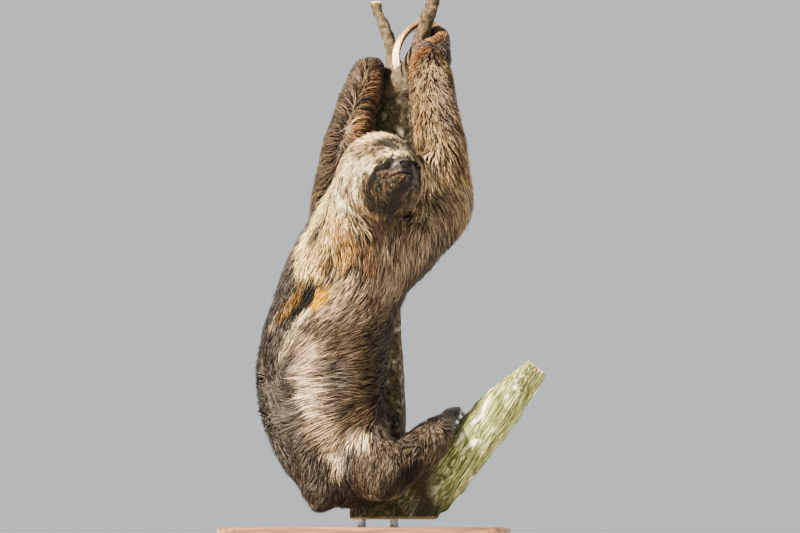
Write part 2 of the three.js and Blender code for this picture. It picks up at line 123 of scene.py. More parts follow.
def mottle(points, size, seed):
    """Smooth chance values from -1 to 1, in patches about size metres across."""
    spot = points / size + seed * 7.31
    cell = np.floor(spot).astype(np.int64)
    part = spot - cell
    part = part * part * (3 - 2 * part)
    total = np.zeros(len(points))
    for corner in product((0, 1), repeat=3):
        x, y, z = (cell + corner).T
        mix = (x * 73856093 ^ y * 19349663 ^ z * 83492791 ^ seed * 40503) & 0x7fffffff
        mix = (mix ^ (mix >> 15)) * 2246822519 & 0x7fffffff
        mix = (mix ^ (mix >> 13)) * 3266489917 & 0x7fffffff
        share = np.where(corner, part, 1 - part).prod(1)
        total += share * (mix / 0x3fffffff - 1)
    return total


def along(points, line):
    """Nearest place on a line of knots: distance over thickness, direction, foot and row values."""
    line = np.array(line, float)
    knots = line[:, :3] * MM
    best = np.full(len(points), np.inf)
    heading, foot, row = np.zeros_like(points), np.zeros_like(points), np.zeros((len(points), 3))
    for i in range(len(line) - 1):
        span = knots[i + 1] - knots[i]
        t = np.clip((points - knots[i]) @ span / (span @ span), 0, 1)[:, None]
        place = knots[i] + t * span
        values = line[i, 3:] + t * (line[i + 1, 3:] - line[i, 3:])
        ratio = np.linalg.norm(points - place, axis=1) / (values[:, 0] * MM)
        near = ratio < best
        best[near] = ratio[near]
        heading[near] = unit(span)
        foot[near] = place[near]
        row[near] = values[near]
    return best, heading, foot, row


def shares(points):
    """How much each body line has to say at each point, and what it says."""
    head_line = [(*(from_head(-8, 0, -6) / MM), 54, 10, 20), (*(from_head(34, 0, -13) / MM), 25, 3, 8)]
    lines = dict(LINES, head=head_line)
    found = {name: along(points, line) for name, line in lines.items()}
    nearest = np.min([f[0] for f in found.values()], axis=0)
    weight = {name: np.exp(-((f[0] - nearest) / .16) ** 2) for name, f in found.items()}
    total = sum(weight.values())
    return {name: (weight[name] / total, *found[name][1:]) for name in lines}


def coat_measures(points, told):
    """Depth of the coat and length of its locks at each point, in metres."""
    depth = sum(share * row[:, 1] for share, _, _, row in told.values())
    length = sum(share * row[:, 2] for share, _, _, row in told.values())
    place = to_head(points)
    from_muzzle = np.linalg.norm((place - MUZZLE_TIP) * (1, 1, .9), axis=1)
    is_head = told["head"][0] * ease(place[:, 0], -45, 5)
    face_depth = 1 + 8.5 * ease(from_muzzle, 16, 66)
    face_length = 4.5 + 6 * ease(from_muzzle, 20, 50) + 8 * ease(from_muzzle, 62, 92)
    depth += is_head * (face_depth - depth)
    length += is_head * (face_length - length)
    return depth * MM, length * MM


# ---------------------------------------------------------------- meshes

def only(*things):
    """Deselects everything, then selects these and makes the first active."""
    bpy.ops.object.select_all(action="DESELECT")
    for thing in things:
        thing.select_set(True)
    bpy.context.view_layer.objects.active = things[0]


def loose_copy(node, name):
    """A merged copy of a solid, free of the frame."""
    thing = bpy.data.objects.new(name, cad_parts[node].data.copy())
    bpy.context.scene.collection.objects.link(thing)
    thing.data.materials.clear()
    only(thing)
    bpy.ops.object.mode_set(mode="EDIT")
    bpy.ops.mesh.select_all(action="SELECT")
    bpy.ops.mesh.remove_doubles(threshold=.00002)
    bpy.ops.object.mode_set(mode="OBJECT")
    return thing


def finish_with(thing, kind, **settings):
    """Adds a modifier and applies it."""
    only(thing)
    modifier = thing.modifiers.new(kind.lower(), kind)
    for key, value in settings.items():
        setattr(modifier, key, value)
    bpy.ops.object.modifier_apply(modifier=modifier.name)


def one_surface(nodes, name, grow, voxel):
    """Several solids as one closed surface: each grows a little, and a remesh joins them."""
    copies = [loose_copy(node, name) for node in nodes]
    for copy in copies:
        finish_with(copy, "DISPLACE", strength=grow, mid_level=0)
    only(*copies)
    bpy.ops.object.join()
    whole = copies[0]
    finish_with(whole, "REMESH", mode="VOXEL", voxel_size=voxel)
    return whole


def read(items, field, width, kind=np.float32):
    """One field of every item in a mesh, as a row of numbers for each."""
    flat = np.empty(len(items) * width, kind)
    items.foreach_get(field, flat)
    return flat.reshape(-1, width)


def points_of(thing):
    return read(thing.data.vertices, "co", 3).astype(float)


def normals_of(thing):
    return read(thing.data.vertices, "normal", 3).astype(float)


def edges_of(thing):
    return read(thing.data.edges, "vertices", 2, np.int32)


def with_neighbours(values, edges):
    """Each point's value plus those of the points that an edge joins it to."""
    total = values.copy()
    np.add.at(total, edges[:, 0], values[edges[:, 1]])
    np.add.at(total, edges[:, 1], values[edges[:, 0]])
    return total


def move_points(thing, points):
    thing.data.vertices.foreach_set("co", points.astype(np.float32).ravel())
    thing.data.update()


def paint(thing, name, colours):
    """Gives a mesh one linear colour for each point."""
    layer = thing.data.attributes.new(name, "FLOAT_COLOR", "POINT")
    rgba = np.ones((len(colours), 4), np.float32)
    rgba[:, :3] = colours
    layer.data.foreach_set("color", rgba.ravel())


def smooth_shade(thing):
    thing.data.polygons.foreach_set("use_smooth", np.ones(len(thing.data.polygons), bool))
    thing.data.update()


# ---------------------------------------------------------------- colours and markings

def hue(code):
    """An sRGB hex colour as linear red, green and blue."""
    s = [int(code[i:i + 2], 16) / 255 for i in (1, 3, 5)]
    return np.array([c / 12.92 if c <= .04045 else ((c + .055) / 1.055) ** 2.4 for c in s])


# Each kind of fur: its pale hairs, its dark hairs, and the share of pale ones.
FUR = {
    "flank grey": ("#524c48", "#1a120e", .5),
    # Painted shade: the back's left edge and the side of the body pressed to the trunk.
    "torso shade": ("#323030", "#080604", .5),
    "flank tan": ("#7e6e60", "#342a20", .48),
    "flank light": ("#cab69a", "#524430", .6),
    "flank beige": ("#b6a28c", "#483a2e", .62),
    "belly side": ("#564a3a", "#2a1e14", .48),
    "streak": ("#d4c4a6", "#3e342a", .62),
    "cream": ("#fff2dc", "#9c8464", .68),
    "hip": ("#b29c84", "#4a3c2e", .54),
    "cape": ("#ecd698", "#40341c", .72),
    "ochre": ("#bc985c", "#4a3012", .55),
    "rust chest": ("#80644a", "#28180e", .5),
    "chest shade": ("#908270", "#30261c", .52),
    "chest grey": ("#a8998a", "#3c3028", .52),
    # Painted shade under the chin.
    "chin shadow": ("#4e3c2a", "#040200", .4),
    "shoulder tan": ("#e0caa8", "#342616", .5),
    "shoulder shade": ("#786c5c", "#282018", .5),
    "elbow": ("#766e64", "#26201a", .6),
    "arm tan": ("#988260", "#22140c", .52),
    # Painted shade on the side of the right arm turned from the light.
    "arm shaded side": ("#74665a", "#16100a", .5),
    "wrist rust": ("#8a6038", "#241004", .5),
    "wrist dark": ("#3c2c20", "#0a0402", .45),
    "arm grey": ("#524436", "#1a120c", .47),
    "arm golden": ("#7a644c", "#342214", .5),
    "arm cream": ("#d2b48c", "#6a4c2a", .62),
    # Red brown fur with painted shade, on the left arm's inner side.
    "red brown": ("#8a6644", "#2a140a", .48),
    "mirror orange": ("#ca9600", "#a07400", .8),
    "mirror tan": ("#7c5c24", "#463416", .6),
    "mirror black": ("#080604", "#020000", .3),
    "leg": ("#62584c", "#18120c", .5),
    # Painted shade under the right leg.
    "leg underside shade": ("#261e14", "#040200", .4),
    "crown": ("#b8a47e", "#221a10", .58),
    "crown dark": ("#1a1610", "#020202", .32),
    "cheek": ("#fff4d4", "#382a16", .74),
    "collar": ("#dcc294", "#2a1c0c", .52),
    "brow": ("#d0c2a4", "#7a6e58", .72),
    "eye stripe": ("#0a0604", "#030202", .3),
    "cheek stripe": ("#160c06", "#040402", .4),
    "stripe edge": ("#463a32", "#261e18", .5),
    # Dark throat fur, darkened further with painted shade under the chin.
    "throat": ("#5c4e3e", "#030101", .26),
    # Dark fur and painted shade in the deepest part of the throat.
    "throat dark shaded": ("#0c0806", "#020000", .3),
    "chin": ("#3e3830", "#0c0c08", .4),
    "muzzle": ("#282428", "#121012", .5),
    "arc": ("#4c4446", "#2c2628", .5),
    # A painted highlight on the nose.
    "nose highlight": ("#aaa29c", "#8a827c", .5),
    "mouth": ("#060303", "#030202", .4),
    "lips": ("#48200f", "#260c06", .5),
    "lower lip": ("#5a4640", "#362624", .5),
    "crumb": ("#c89858", "#94643a", .6),
    "stain": ("#4c3820", "#2a1c10", .5),
    "throat gold": ("#54422a", "#060200", .4),
    # The khaki upper lid, darkened with painted shade.
    "lid": ("#625640", "#2a2214", .5),
    "below eye": ("#4e443a", "#080402", .36),
    "lip dark": ("#1a1616", "#080606", .5),
    "cheek skin": ("#625a5e", "#3c3436", .5),
    "chin blue": ("#50525a", "#202022", .45),
    "crown grey": ("#403a34", "#0c0a08", .5),
    "brow edge": ("#888074", "#524840", .6),
    # Light brown fur, darkened with painted shade where the ruff folds.
    "ruff fold shade": ("#c0a27a", "#3c2612", .5),
    "ruff white": ("#fff4d2", "#80684a", .8),
    "mask edge": ("#80684e", "#1e0e06", .4),
    "crown warm": ("#ccb088", "#4a321a", .58),
    # A painted highlight on the bridge of the nose.
    "bridge highlight": ("#4e4a50", "#3a363c", .6),
    "crumb pale": ("#e8e0cc", "#b0a894", .6),
    "mirror edge": ("#9c8a70", "#52422e", .6),
    "arm gold": ("#c49458", "#5c3e1e", .58),
    "arm dust": ("#7c6c5c", "#2c2018", .5),
    "finger": ("#886442", "#50321c", .5),
}

# Markings, laid one over the other: fur, the strokes they are laid with, width, soft edge, strength.
# A stroke is a run of places in the solids' frame.
MARKINGS = [
    # Painted shade over the back's left edge and the side of the body pressed to the trunk.
    ("torso shade", [(-135, -20, 340), (-160, -30, 260), (-160, -30, 180), (-130, -10, 120)], 45, 40, 1),
    ("torso shade", [(-20, 60, 390), (-60, 90, 250), (-60, 90, 130)], 90, 40, 1),
    ("torso shade", [(-115, -62, 345), (-128, -62, 290), (-136, -62, 245)], 16, 16, .9),
    ("flank tan", [(-55, -110, 300), (-20, -108, 300), (14, -90, 316)], 32, 30, 1),
    ("flank light", [(-25, -108, 336), (-52, -113, 302)], 14, 20, .9),
    ("belly side", [(-44, -114, 262), (-10, -106, 262), (10, -90, 215), (-5, -94, 165)], 26, 24, 1),
    ("flank beige", [(-74, -112, 252), (-74, -112, 212), (-66, -106, 160)], 15, 14, 1),
    ("hip", [(-57, -99, 145), (-45, -95, 125)], 20, 18, .9),
    ("cream", [(-78, -108, 184), (-73, -106, 166)], 8.5, 9, .95),
    ("cream", [(-38, -91, 108), (-36, -88, 92)], 8, 11, .85),
    ("cream", [(-16, -100, 133), (0, -104, 124), (3, -106, 114)], 9, 11, .85),
    ("streak", [(-66, -112, 305), (-84, -106, 286), (-97, -104, 265), (-107, -98, 243)], 7, 6, 1),
    ("chest shade", [(75, -75, 420), (60, -80, 375), (42, -86, 367), (36, -80, 335)], 26, 22, 1),
    ("chest grey", [(86, -84, 398), (90, -80, 385)], 9, 10, .9),
    ("arm tan", [(110, -60, 450), (108, -85, 519), (97, -55, 600)], 50, 25, 1),
    ("shoulder shade", [(84, -92, 440), (110, -92, 441), (100, -86, 415), (120, -65, 404)], 24, 18, 1),
    ("shoulder shade", [(135, -40, 450), (120, -30, 420)], 30, 20, 1),
    ("elbow", [(134, -82, 460), (139, -72, 448)], 8, 8, 1),
    ("shoulder tan", [(82, -97, 468), (86, -101, 493)], 13, 12, 1),
    # Painted shade on the side of the right arm turned from the light.
    ("arm shaded side", [(102, -56, 615), (114, -88, 547), (130, -85, 495)], 12, 16, .9),
    ("arm shaded side", [(125, -50, 600), (140, -50, 520)], 22, 20, .9),
    ("wrist rust", [(68, -86, 520), (66, -75, 562)], 7, 8, .85),
    ("wrist rust", [(76, -28, 660), (63, -30, 647), (58, -32, 628)], 13, 10, 1),
    ("wrist rust", [(90, 20, 680), (100, 45, 704), (80, 58, 715)], 20, 14, .9),
    ("wrist dark", [(94, -38, 646), (104, -25, 660)], 11, 10, .9),
    ("arm grey", [(-35, 28, 405), (-43, 26, 455), (-32, 22, 519), (-13, 44, 588), (3, 64, 638)],
     52, 14, 1),
    ("arm dust", [(-6, 34, 640), (-12, 26, 612), (-24, 20, 596)], 11, 10, .8),
    ("arm golden", [(-2, 33, 640), (-2, 24, 610)], 6, 8, .8),
    ("arm cream", [(-14, 7, 568), (-18, 2, 550)], 11, 9, 1),
    ("arm gold", [(6, 18, 570), (-4, 12, 554), (-12, 5, 545)], 7.5, 6, .95),
    ("arm gold", [(-26, 2, 575), (-34, -2, 556)], 5, 6, .8),
    ("arm golden", [(-6, 19, 598), (-8, 12, 580)], 7, 9, .8),
    ("arm golden", [(-28, -3, 540), (-20, 0, 530)], 8, 9, .7),
    # Red brown fur with painted shade, on the inner side of the left arm.
    ("red brown", [(16, 36, 632), (18, 36, 594), (9, 20, 565), (2, 14, 548)], 9, 8, 1),
    ("finger", [(10, 84, 644), (24, 106, 646)], 20, 10, .9),
    ("leg", [(28, -88, 84), (84, -28, 131), (119, 27, 171), (150, 34, 172)], 44, 18, 1),
    ("leg", [(-60, 88, 94), (-9, 136, 120), (44, 117, 138)], 48, 18, 1),
    # Painted shade under the right leg.
    ("leg underside shade", [(30, -112, 68), (52, -106, 80), (70, -85, 92)], 12, 12, .9),
    ("cape", [(-24, -120, 448), (-38, -106, 426), (-45, -103, 405), (-60, -100, 380),
              (-76, -88, 368)], 17, 14, 1),
    ("cape", [(-42, -92, 468), (-52, -72, 452), (-54, -82, 436), (-62, -74, 428), (-74, -68, 408),
              (-84, -68, 390), (-84, -84, 360)], 12, 8, .9),
    ("cape", [(-84, -88, 350), (-64, -102, 344)], 11, 8, .9),
    ("ochre", [(-34, -106, 398), (-20, -107, 384), (-26, -106, 365)], 13, 14, 1),
    ("ochre", [(-52, -100, 378), (-56, -103, 352)], 7, 10, .6),
    ("rust chest", [(8, -106, 390), (0, -106, 374), (8, -100, 360)], 13, 14, .95),
    ("cheek", [(-26, -126, 489), (-32, -120, 470), (-34, -114, 452)], 17, 10, 1),
    ("cheek", [(-30, -122, 458), (-20, -124, 436)], 13, 8, .9),
    ("collar", [(-24, -111, 414), (-16, -113, 406), (-4, -112, 400), (8, -110, 402)], 9, 8, .95),
    ("collar", [(-12, -123, 428), (-4, -121, 420), (8, -116, 413)], 6, 7, .95),
    # Painted shade under the chin.
    ("chin shadow", [(4, -124, 424), (18, -120, 420), (33, -113, 416), (52, -100, 420)], 6, 5, 1),
    ("chin shadow", [(12, -114, 408), (34, -104, 410), (56, -88, 402)], 8, 9, .95),
    ("mirror orange", [(-54, -109, 321), (-57, -109, 317), (-64, -109, 308)], 8.6, 1.6, 1),
    ("mirror edge", [(-92, -95, 318), (-102, -88, 306), (-116, -80, 291), (-124, -70, 280)], 5.5, 4, .9),
    ("mirror tan", [(-83, -97, 326), (-92, -95, 311), (-103, -90, 299)], 7, 1.6, 1),
    ("mirror tan", [(-103, -90, 299), (-114, -81, 288)], 4.6, 3, .9),
    ("mirror black", [(-71, -104, 327), (-75, -105, 315)], 9, 1.8, 1),
    ("mirror black", [(-75, -105, 315), (-87, -101, 300)], 7.2, 1.8, 1),
    ("mirror black", [(-87, -101, 300), (-98, -98, 288)], 5, 1.8, 1),
]

# The ground colours of the head, in its own axes: forward, left, up. They are the same on both sides.
HEAD_GROUND = [
    ("crown", [(0, 0, 10), (0, 30, 0), (0, 40, -25)], 62, 10, 1),
    ("crown warm", [(20, 30, 36), (12, 36, 30)], 9, 14, .7),
    ("cheek", [(25, 46, -10), (0, 52, 0), (0, 50, -25)], 16, 14, .9),
]

# Markings over them, in the same axes and the same on both sides.
HEAD_MARKINGS = [
    # Dark throat fur, darkened further with painted shade under the chin.
    ("throat", [(33, 28, -36), (20, 26, -48), (14, 12, -55), (14, 0, -56)], 18, 5, 1),
    ("throat", [(38, 0, -40), (25, 0, -50)], 22, 8, 1),
    ("throat", [(6, 25, -56), (-4, 10, -66)], 10, 6, .9),
    ("below eye", [(47, 24, -17), (42, 31, -21), (35, 37, -28)], 6, 3, 1),
    ("chin", [(50, 0, -32), (47, 14, -30)], 8, 4, 1),
    ("chin", [(54, 0, -26), (52, 12, -25), (48, 19, -24)], 4, 2, 1),
    ("muzzle", [(57, 0, -5), (53, 12, -8), (52, 17, -14)], 8.4, 2, 1),
    ("muzzle", [(52, 17, -17), (55, 9, -19), (57, 0, -16)], 4, 2, 1),
    ("cheek stripe", [(34, 38, -21), (29, 39, -29), (23, 38, -36)], 4.2, 4, 1),
]

# Markings of the bare muzzle and about the eyes, in the same axes, each side painted on its own.
FACE = [
    ("arc", [(55, -12, 2), (56, -6, 3), (56, -2, 3), (57, 2, 1), (58, 5, -2), (56, 11, -3)], .9, .9, 1),
    ("cheek skin", [(56, 13, -10), (54, 15, -16), (48, 20, -20)], 3, 2.4, 1),
    # A painted highlight on the bridge of the nose.
    ("bridge highlight", [(55, -16, -9), (54, -18, -13)], 1.4, 1.6, .7),
    # The upper lid: khaki fur darkened with painted shade.
    ("lid", [(47, -25, 0), (44, -29, -1.5), (41, -33, -4)], 2.8, 2, 1),
    ("eye stripe", [(52, -20, -2), (48, -23.5, -5)], 4.6, 1.6, 1),
    ("eye stripe", [(48, -23.5, -6), (44, -29, -10), (40, -34, -12)], 3.9, 1.6, 1),
    ("eye stripe", [(55, 10, -1), (53, 16, -5)], 2.2, 1.4, 1),
    ("stripe edge", [(49, -22, -14), (45, -27, -16), (41, -32, -18)], 1.1, 1.4, .7),
    # A painted highlight on the nose.
    ("nose highlight", [(55, -15, -9), (56, -13, -7)], .9, 1.4, .8),
    ("lip dark", [(57, -6, -17), (58, 1, -15.5), (56, 8, -17)], 3.2, 1.6, 1),
    ("lower lip", [(48, -21, -25.5), (52, -12, -25), (54, -4, -24), (54, 6, -24)], 1.6, 1.4, .7),
    ("stain", [(51, -17, -19.5), (54, -12, -18), (55, -10, -18.6)], 1.7, 1.6, .85),
    ("crumb", [(52, -15, -18.5), (53, -14, -18)], .6, .6, .8),
    ("crumb", [(55, -10.5, -17), (55, -10, -16.6)], .6, .6, .8),
    ("lips", [(46, -24, -22), (49, -19.5, -22.6), (52, -14, -22)], 1.3, 1, 1),
    # Painted shade: the skin behind each nostril is painted black, as the shade inside it.
    ("mouth", [(58, -7.6, -10.6), (58, -6.4, -10.4)], 2.6, 1, 1),
    ("mouth", [(58, 3.2, -10.4), (58, 4, -10.2)], 2.2, 1, 1),
    ("mouth", [(48, -21.5, -23), (51, -15.5, -23.3), (54, -11, -22.2)], .6, .7, 1),
    ("mouth", [(54, -11, -22), (56, -6, -21.2), (57, 2, -20.8), (55, 10, -21.4)], 1.4, .9, 1),
    ("crumb", [(53, -8.5, -26), (54, -7.5, -26.4)], .6, .6, 1),
    ("crumb", [(54, -6, -26.6), (54, -5.2, -27.4)], .6, .6, 1),
    ("crumb", [(52, -9, -29.4), (52, -8.2, -29.6)], .5, .5, .9),
    ("crumb", [(54, 3.4, -25.5), (54, 4, -25.2)], .4, .5, .8),
    ("crumb pale", [(43, -18, -35), (43, -17, -35)], .7, .8, .9),
    ("crumb pale", [(45, -14.5, -35), (45, -14, -35)], .5, .7, .9),
]

# Markings of one side of the head's fur only, in the same axes.
ONE_SIDED = [
    # Light brown fur, darkened with painted shade where the ruff folds.
    ("ruff fold shade", [(8, -52, -18), (-7, -54, -25), (-12, -48, -36), (-8, -41, -47), (-4, -31, -56),
                   (-4, -16, -63)], 4.5, 6, .9),
    ("ruff white", [(14, -52, -6), (9, -51, -24), (2, -46, -37), (0, -41, -46)], 3.6, 4, .9),
    ("ruff white", [(-34, -54, -22), (-32, -52, -44)], 6, 6, .9),
    ("mask edge", [(27, -43, -20), (18, -42, -33), (9, -38, -46), (4, -30, -54)], 3.4, 4, .8),
    ("crown grey", [(45, 8, 24), (42, -2, 30), (40, -22, 27)], 12, 8, .8),
    ("crown dark", [(39, -20, 28), (44, -12, 24), (48, -7, 18)], 7, 5, .95),
    ("crown dark", [(34, -10, 36), (40, 2, 31)], 6, 6, .7),
    ("brow edge", [(52, 8, 14), (47, 22, 7), (41, 32, -2)], 6, 5, .9),
    ("brow", [(54, -10, 8), (54, -2, 10), (54, 8, 9)], 4.2, 2.4, 1),
    ("brow", [(54, 8, 8), (52, 15, 5)], 3, 2.4, .7),
    # Dark fur and painted shade in the deepest part of the throat, under the chin.
    ("throat dark shaded", [(42, 0, -36), (34, -4, -44), (24, -4, -52), (14, -2, -58)], 10, 8, .92),
    ("throat dark shaded", [(18, -22, -52), (8, -10, -60), (2, 10, -64)], 6, 6, .8),
    ("throat gold", [(26, 24, -44), (20, 20, -52), (10, 16, -60)], 5, 5, .45),
    ("chin blue", [(48, 14, -28), (42, 21, -33), (34, 26, -40)], 5, 4, .8),
    ("below eye", [(38, -32, -25), (32, -34, -34)], 4, 4, .5),
    ("cheek stripe", [(40, -35, -13), (37, -37.5, -17), (33, -39, -23), (26, -40, -32)], 3.2, 2.4, 1),
    ("eye stripe", [(53, 17, -5), (47, 27, -8), (41, 32, -12), (40, 34, -16)], 4.6, 1.6, 1),
    ("eye stripe", [(40, 34, -14), (40, 32, -22), (34, 34, -31)], 3, 2, 1),
]


def stroke_gap(points, places):
    """How far each point is from a run of places."""
    gap = np.full(len(points), np.inf)
    places = [np.array(p, float) for p in places]
    for start, end in zip(places, places[1:] or places):
        span = end - start
        t = np.clip((points - start) @ span / max(span @ span, 1e-9), 0, 1)[:, None]
        gap = np.minimum(gap, np.linalg.norm(points - start - t * span, axis=1))
    return gap


def markings(points, told):
    """The pale and the dark colour of the fur at each point, and the share of pale hairs."""
    layers = {kind: (hue(pale), hue(dark), part) for kind, (pale, dark, part) in FUR.items()}
    pale, dark, part = layers["flank grey"]
    pale, dark = np.tile(pale, (len(points), 1)), np.tile(dark, (len(points), 1))
    part = np.full(len(points), part)
    ragged = mottle(points, .014, 3) * .65 + mottle(points, .005, 4) * .35
    place = to_head(points)
    mirrored = place * (1, 0, 1) + np.abs(place) * (0, 1, 0)
    is_head = ease(told["head"][0], .25, .6)
    off_arms = 1 - ease(told["arm_right"][0] + told["arm_left"][0], .3, .7)
    for table, where, limit in ((MARKINGS, points / MM, 1), (HEAD_GROUND, mirrored, is_head),
                                (HEAD_MARKINGS, mirrored, off_arms), (ONE_SIDED, place, off_arms),
                                (FACE, place * FLAT, off_arms * ease(place[:, 0], 32, 38))):
        for kind, places, width, soft, strength in table:
            if table is FACE:
                places = np.array(places) * FLAT
            gap = stroke_gap(where, places) + ragged * soft * .45
            share = strength * limit * (1 - ease(gap, width - soft * .5, width + soft * .5))
            new_pale, new_dark, new_part = layers[kind]
            pale += share[:, None] * (new_pale - pale)
            dark += share[:, None] * (new_dark - dark)
            part += share * (new_part - part)
    return pale, dark, part


# ---------------------------------------------------------------- how the fur lies

# Down the trunk the locks turn from hanging to sweeping round to the back: height, down, round.
TRUNK_SWEEP = [(60, 1, .3), (110, .8, .5), (150, .35, .9), (190, .15, 1), (230, .3, 1),
               (280, .6, .9), (330, .7, .7), (370, .9, .35), (420, 1, .1)]
# The side of each limb where its fur parts.
PARTINGS = {"arm_right": (-.45, -.9, 0), "shank_right": (.3, -.3, .9), "shank_left": (.3, .3, .9)}
LEFT_PARTING = np.array([-.05, -.94, .33])
STROKE_PULL, STRAY = 2.2, .28                  # what a stroke and chance weigh beside the body's lines
# Single strokes of the comb: place, how far the tips point along x and z, and reach.
STROKES = [
    # The ruff and the collar under the chin.
    (-25, -128, 489, -.25, -1, 16), (-29, -123, 457, .05, -1, 16), (-18, -124, 435, .45, -1, 13),
    (-5, -122, 421, .8, -.8, 11), (10, -116, 411, 1, -.5, 9), (-38, -105, 426, .2, -1, 13),
    (-32, -107, 409, .45, -1, 11), (-2, -148, 461, .15, -1, 10),
    # The cheek and the throat, whose fur runs together under the chin.
    (-16, -129, 509, -.35, -1, 14), (-3, -127, 522, -.6, -1, 12), (5, -145, 507, -.25, -1, 14),
    (14, -136, 521, -.3, -1, 10), (-8, -141, 495, -.1, -1, 16), (-17, -137, 474, -.05, -1, 14),
    (-22, -131, 456, .35, -1, 10), (-12, -130, 438, .7, -1, 9), (7, -150, 480, -.1, -1, 12),
    (3, -148, 454, .35, -1, 12), (21, -144, 441, .55, -1, 12), (5, -133, 431, .8, -.8, 10),
    (40, -133, 436, .1, -1, 10), (57, -120, 438, -.7, -1, 12), (48, -104, 422, -.7, -.6, 10),
    (27, -154, 463, .2, -1, 10),
    # The chest.
    (-19, -107, 389, -.1, -1, 14), (7, -106, 390, -.15, -1, 13), (34, -97, 394, -.05, -1, 12),
    (-25, -106, 365, -.5, -1, 14), (7, -101, 365, -.45, -1, 16), (40, -86, 367, -.25, -1, 16),
    (-25, -108, 334, -.8, -.9, 16), (7, -98, 335, -.6, -.9, 16), (34, -80, 337, -.4, -1, 14),
    (60, -78, 370, -.2, -1, 14), (86, -83, 396, 0, -1, 14), (53, -86, 402, .2, -1, 12),
    # The right shoulder and elbow.
    (83, -95, 467, 1, -.5, 14), (106, -100, 473, .7, -.8, 14), (86, -92, 441, .8, -.9, 14),
    (110, -92, 441, .6, -1, 16), (99, -86, 415, .45, -1, 16), (134, -81, 458, .5, -1, 14),
    (141, -68, 444, .4, -1, 10), (119, -65, 404, .2, -1, 14), (86, -101, 493, .5, -1, 12),
    (106, -103, 506, .3, -1, 14), (128, -89, 495, .35, -1, 14), (78, -93, 500, .15, -1, 10),
    (84, -90, 514, .1, -1, 10), (77, -90, 486, .2, -1, 10), (91, -102, 526, .05, -1, 12),
    # The right forearm and wrist.
    (79, -13, 671, -.8, -.6, 12), (93, 20, 689, -.8, -.5, 12), (101, -18, 665, -.7, -.7, 10),
    (69, -31, 652, -.7, -.8, 12), (85, -36, 651, -.6, -.8, 12), (100, -34, 644, -.4, -1, 12),
    (63, -32, 642, -.5, -1, 10), (109, -2, 670, -.3, -1, 12), (110, -18, 652, .1, -1, 12),
    (87, -55, 620, -.1, -1, 14), (71, -52, 614, -.2, -1, 12), (70, -83, 529, -.35, -1, 10),
    # The flank, from the armpit round to the hip.
    (-51, -113, 295, -.75, -.8, 16), (-18, -108, 295, -.8, -.65, 18), (14, -90, 316, -.6, -.8, 16),
    (-84, -106, 286, -.75, -1, 12), (-97, -104, 265, -.5, -1, 12), (-108, -98, 244, -.45, -1, 12),
    (-121, -77, 271, -.35, -1, 14), (-129, -75, 252, -.3, -1, 12), (-44, -114, 262, -1, -.35, 16),
    (-12, -106, 263, -1, -.25, 18), (-70, -113, 249, -1, -.4, 12), (-77, -112, 221, -1, -.1, 14),
    (-44, -113, 220, -1, -.05, 18), (-5, -99, 221, -1, 0, 18), (-110, -95, 192, -1, -.1, 14),
    (-130, -76, 196, -1, -.35, 12), (-103, -90, 162, -1, -.2, 16), (-77, -107, 178, -1, -.4, 14),
    (-38, -108, 184, -1, -.1, 16), (-5, -94, 169, -1, -.1, 18), (-57, -99, 139, -.8, -.6, 16),
    (-84, -89, 133, -.6, -.9, 14), (-37, -91, 103, -.35, -1, 14), (1, -103, 120, -.1, -1, 16),
    # The right leg.
    (21, -112, 107, -.1, -1, 16), (60, -91, 114, .1, -1, 16), (86, -61, 134, .2, -1, 14),
    (27, -116, 72, -.5, -.9, 14), (51, -109, 81, -.3, -1, 14),
    # The shoulder blade, about the bright mirror.
    (-107, -72, 331, -.3, -1, 12), (-118, -67, 302, -.3, -1, 12), (-84, -87, 349, -.15, -1, 12),
    (-58, -103, 354, -.2, -1, 14), (-51, -99, 381, -.2, -1, 14), (-74, -85, 376, -.2, -1, 12),
    (-60, -110, 318, -.45, -1, 9), (-72, -105, 318, -.45, -1, 9), (-84, -102, 302, -.7, -1, 9),
    (-92, -94, 316, -.5, -1, 9), (-103, -88, 300, -.7, -1, 9),
]


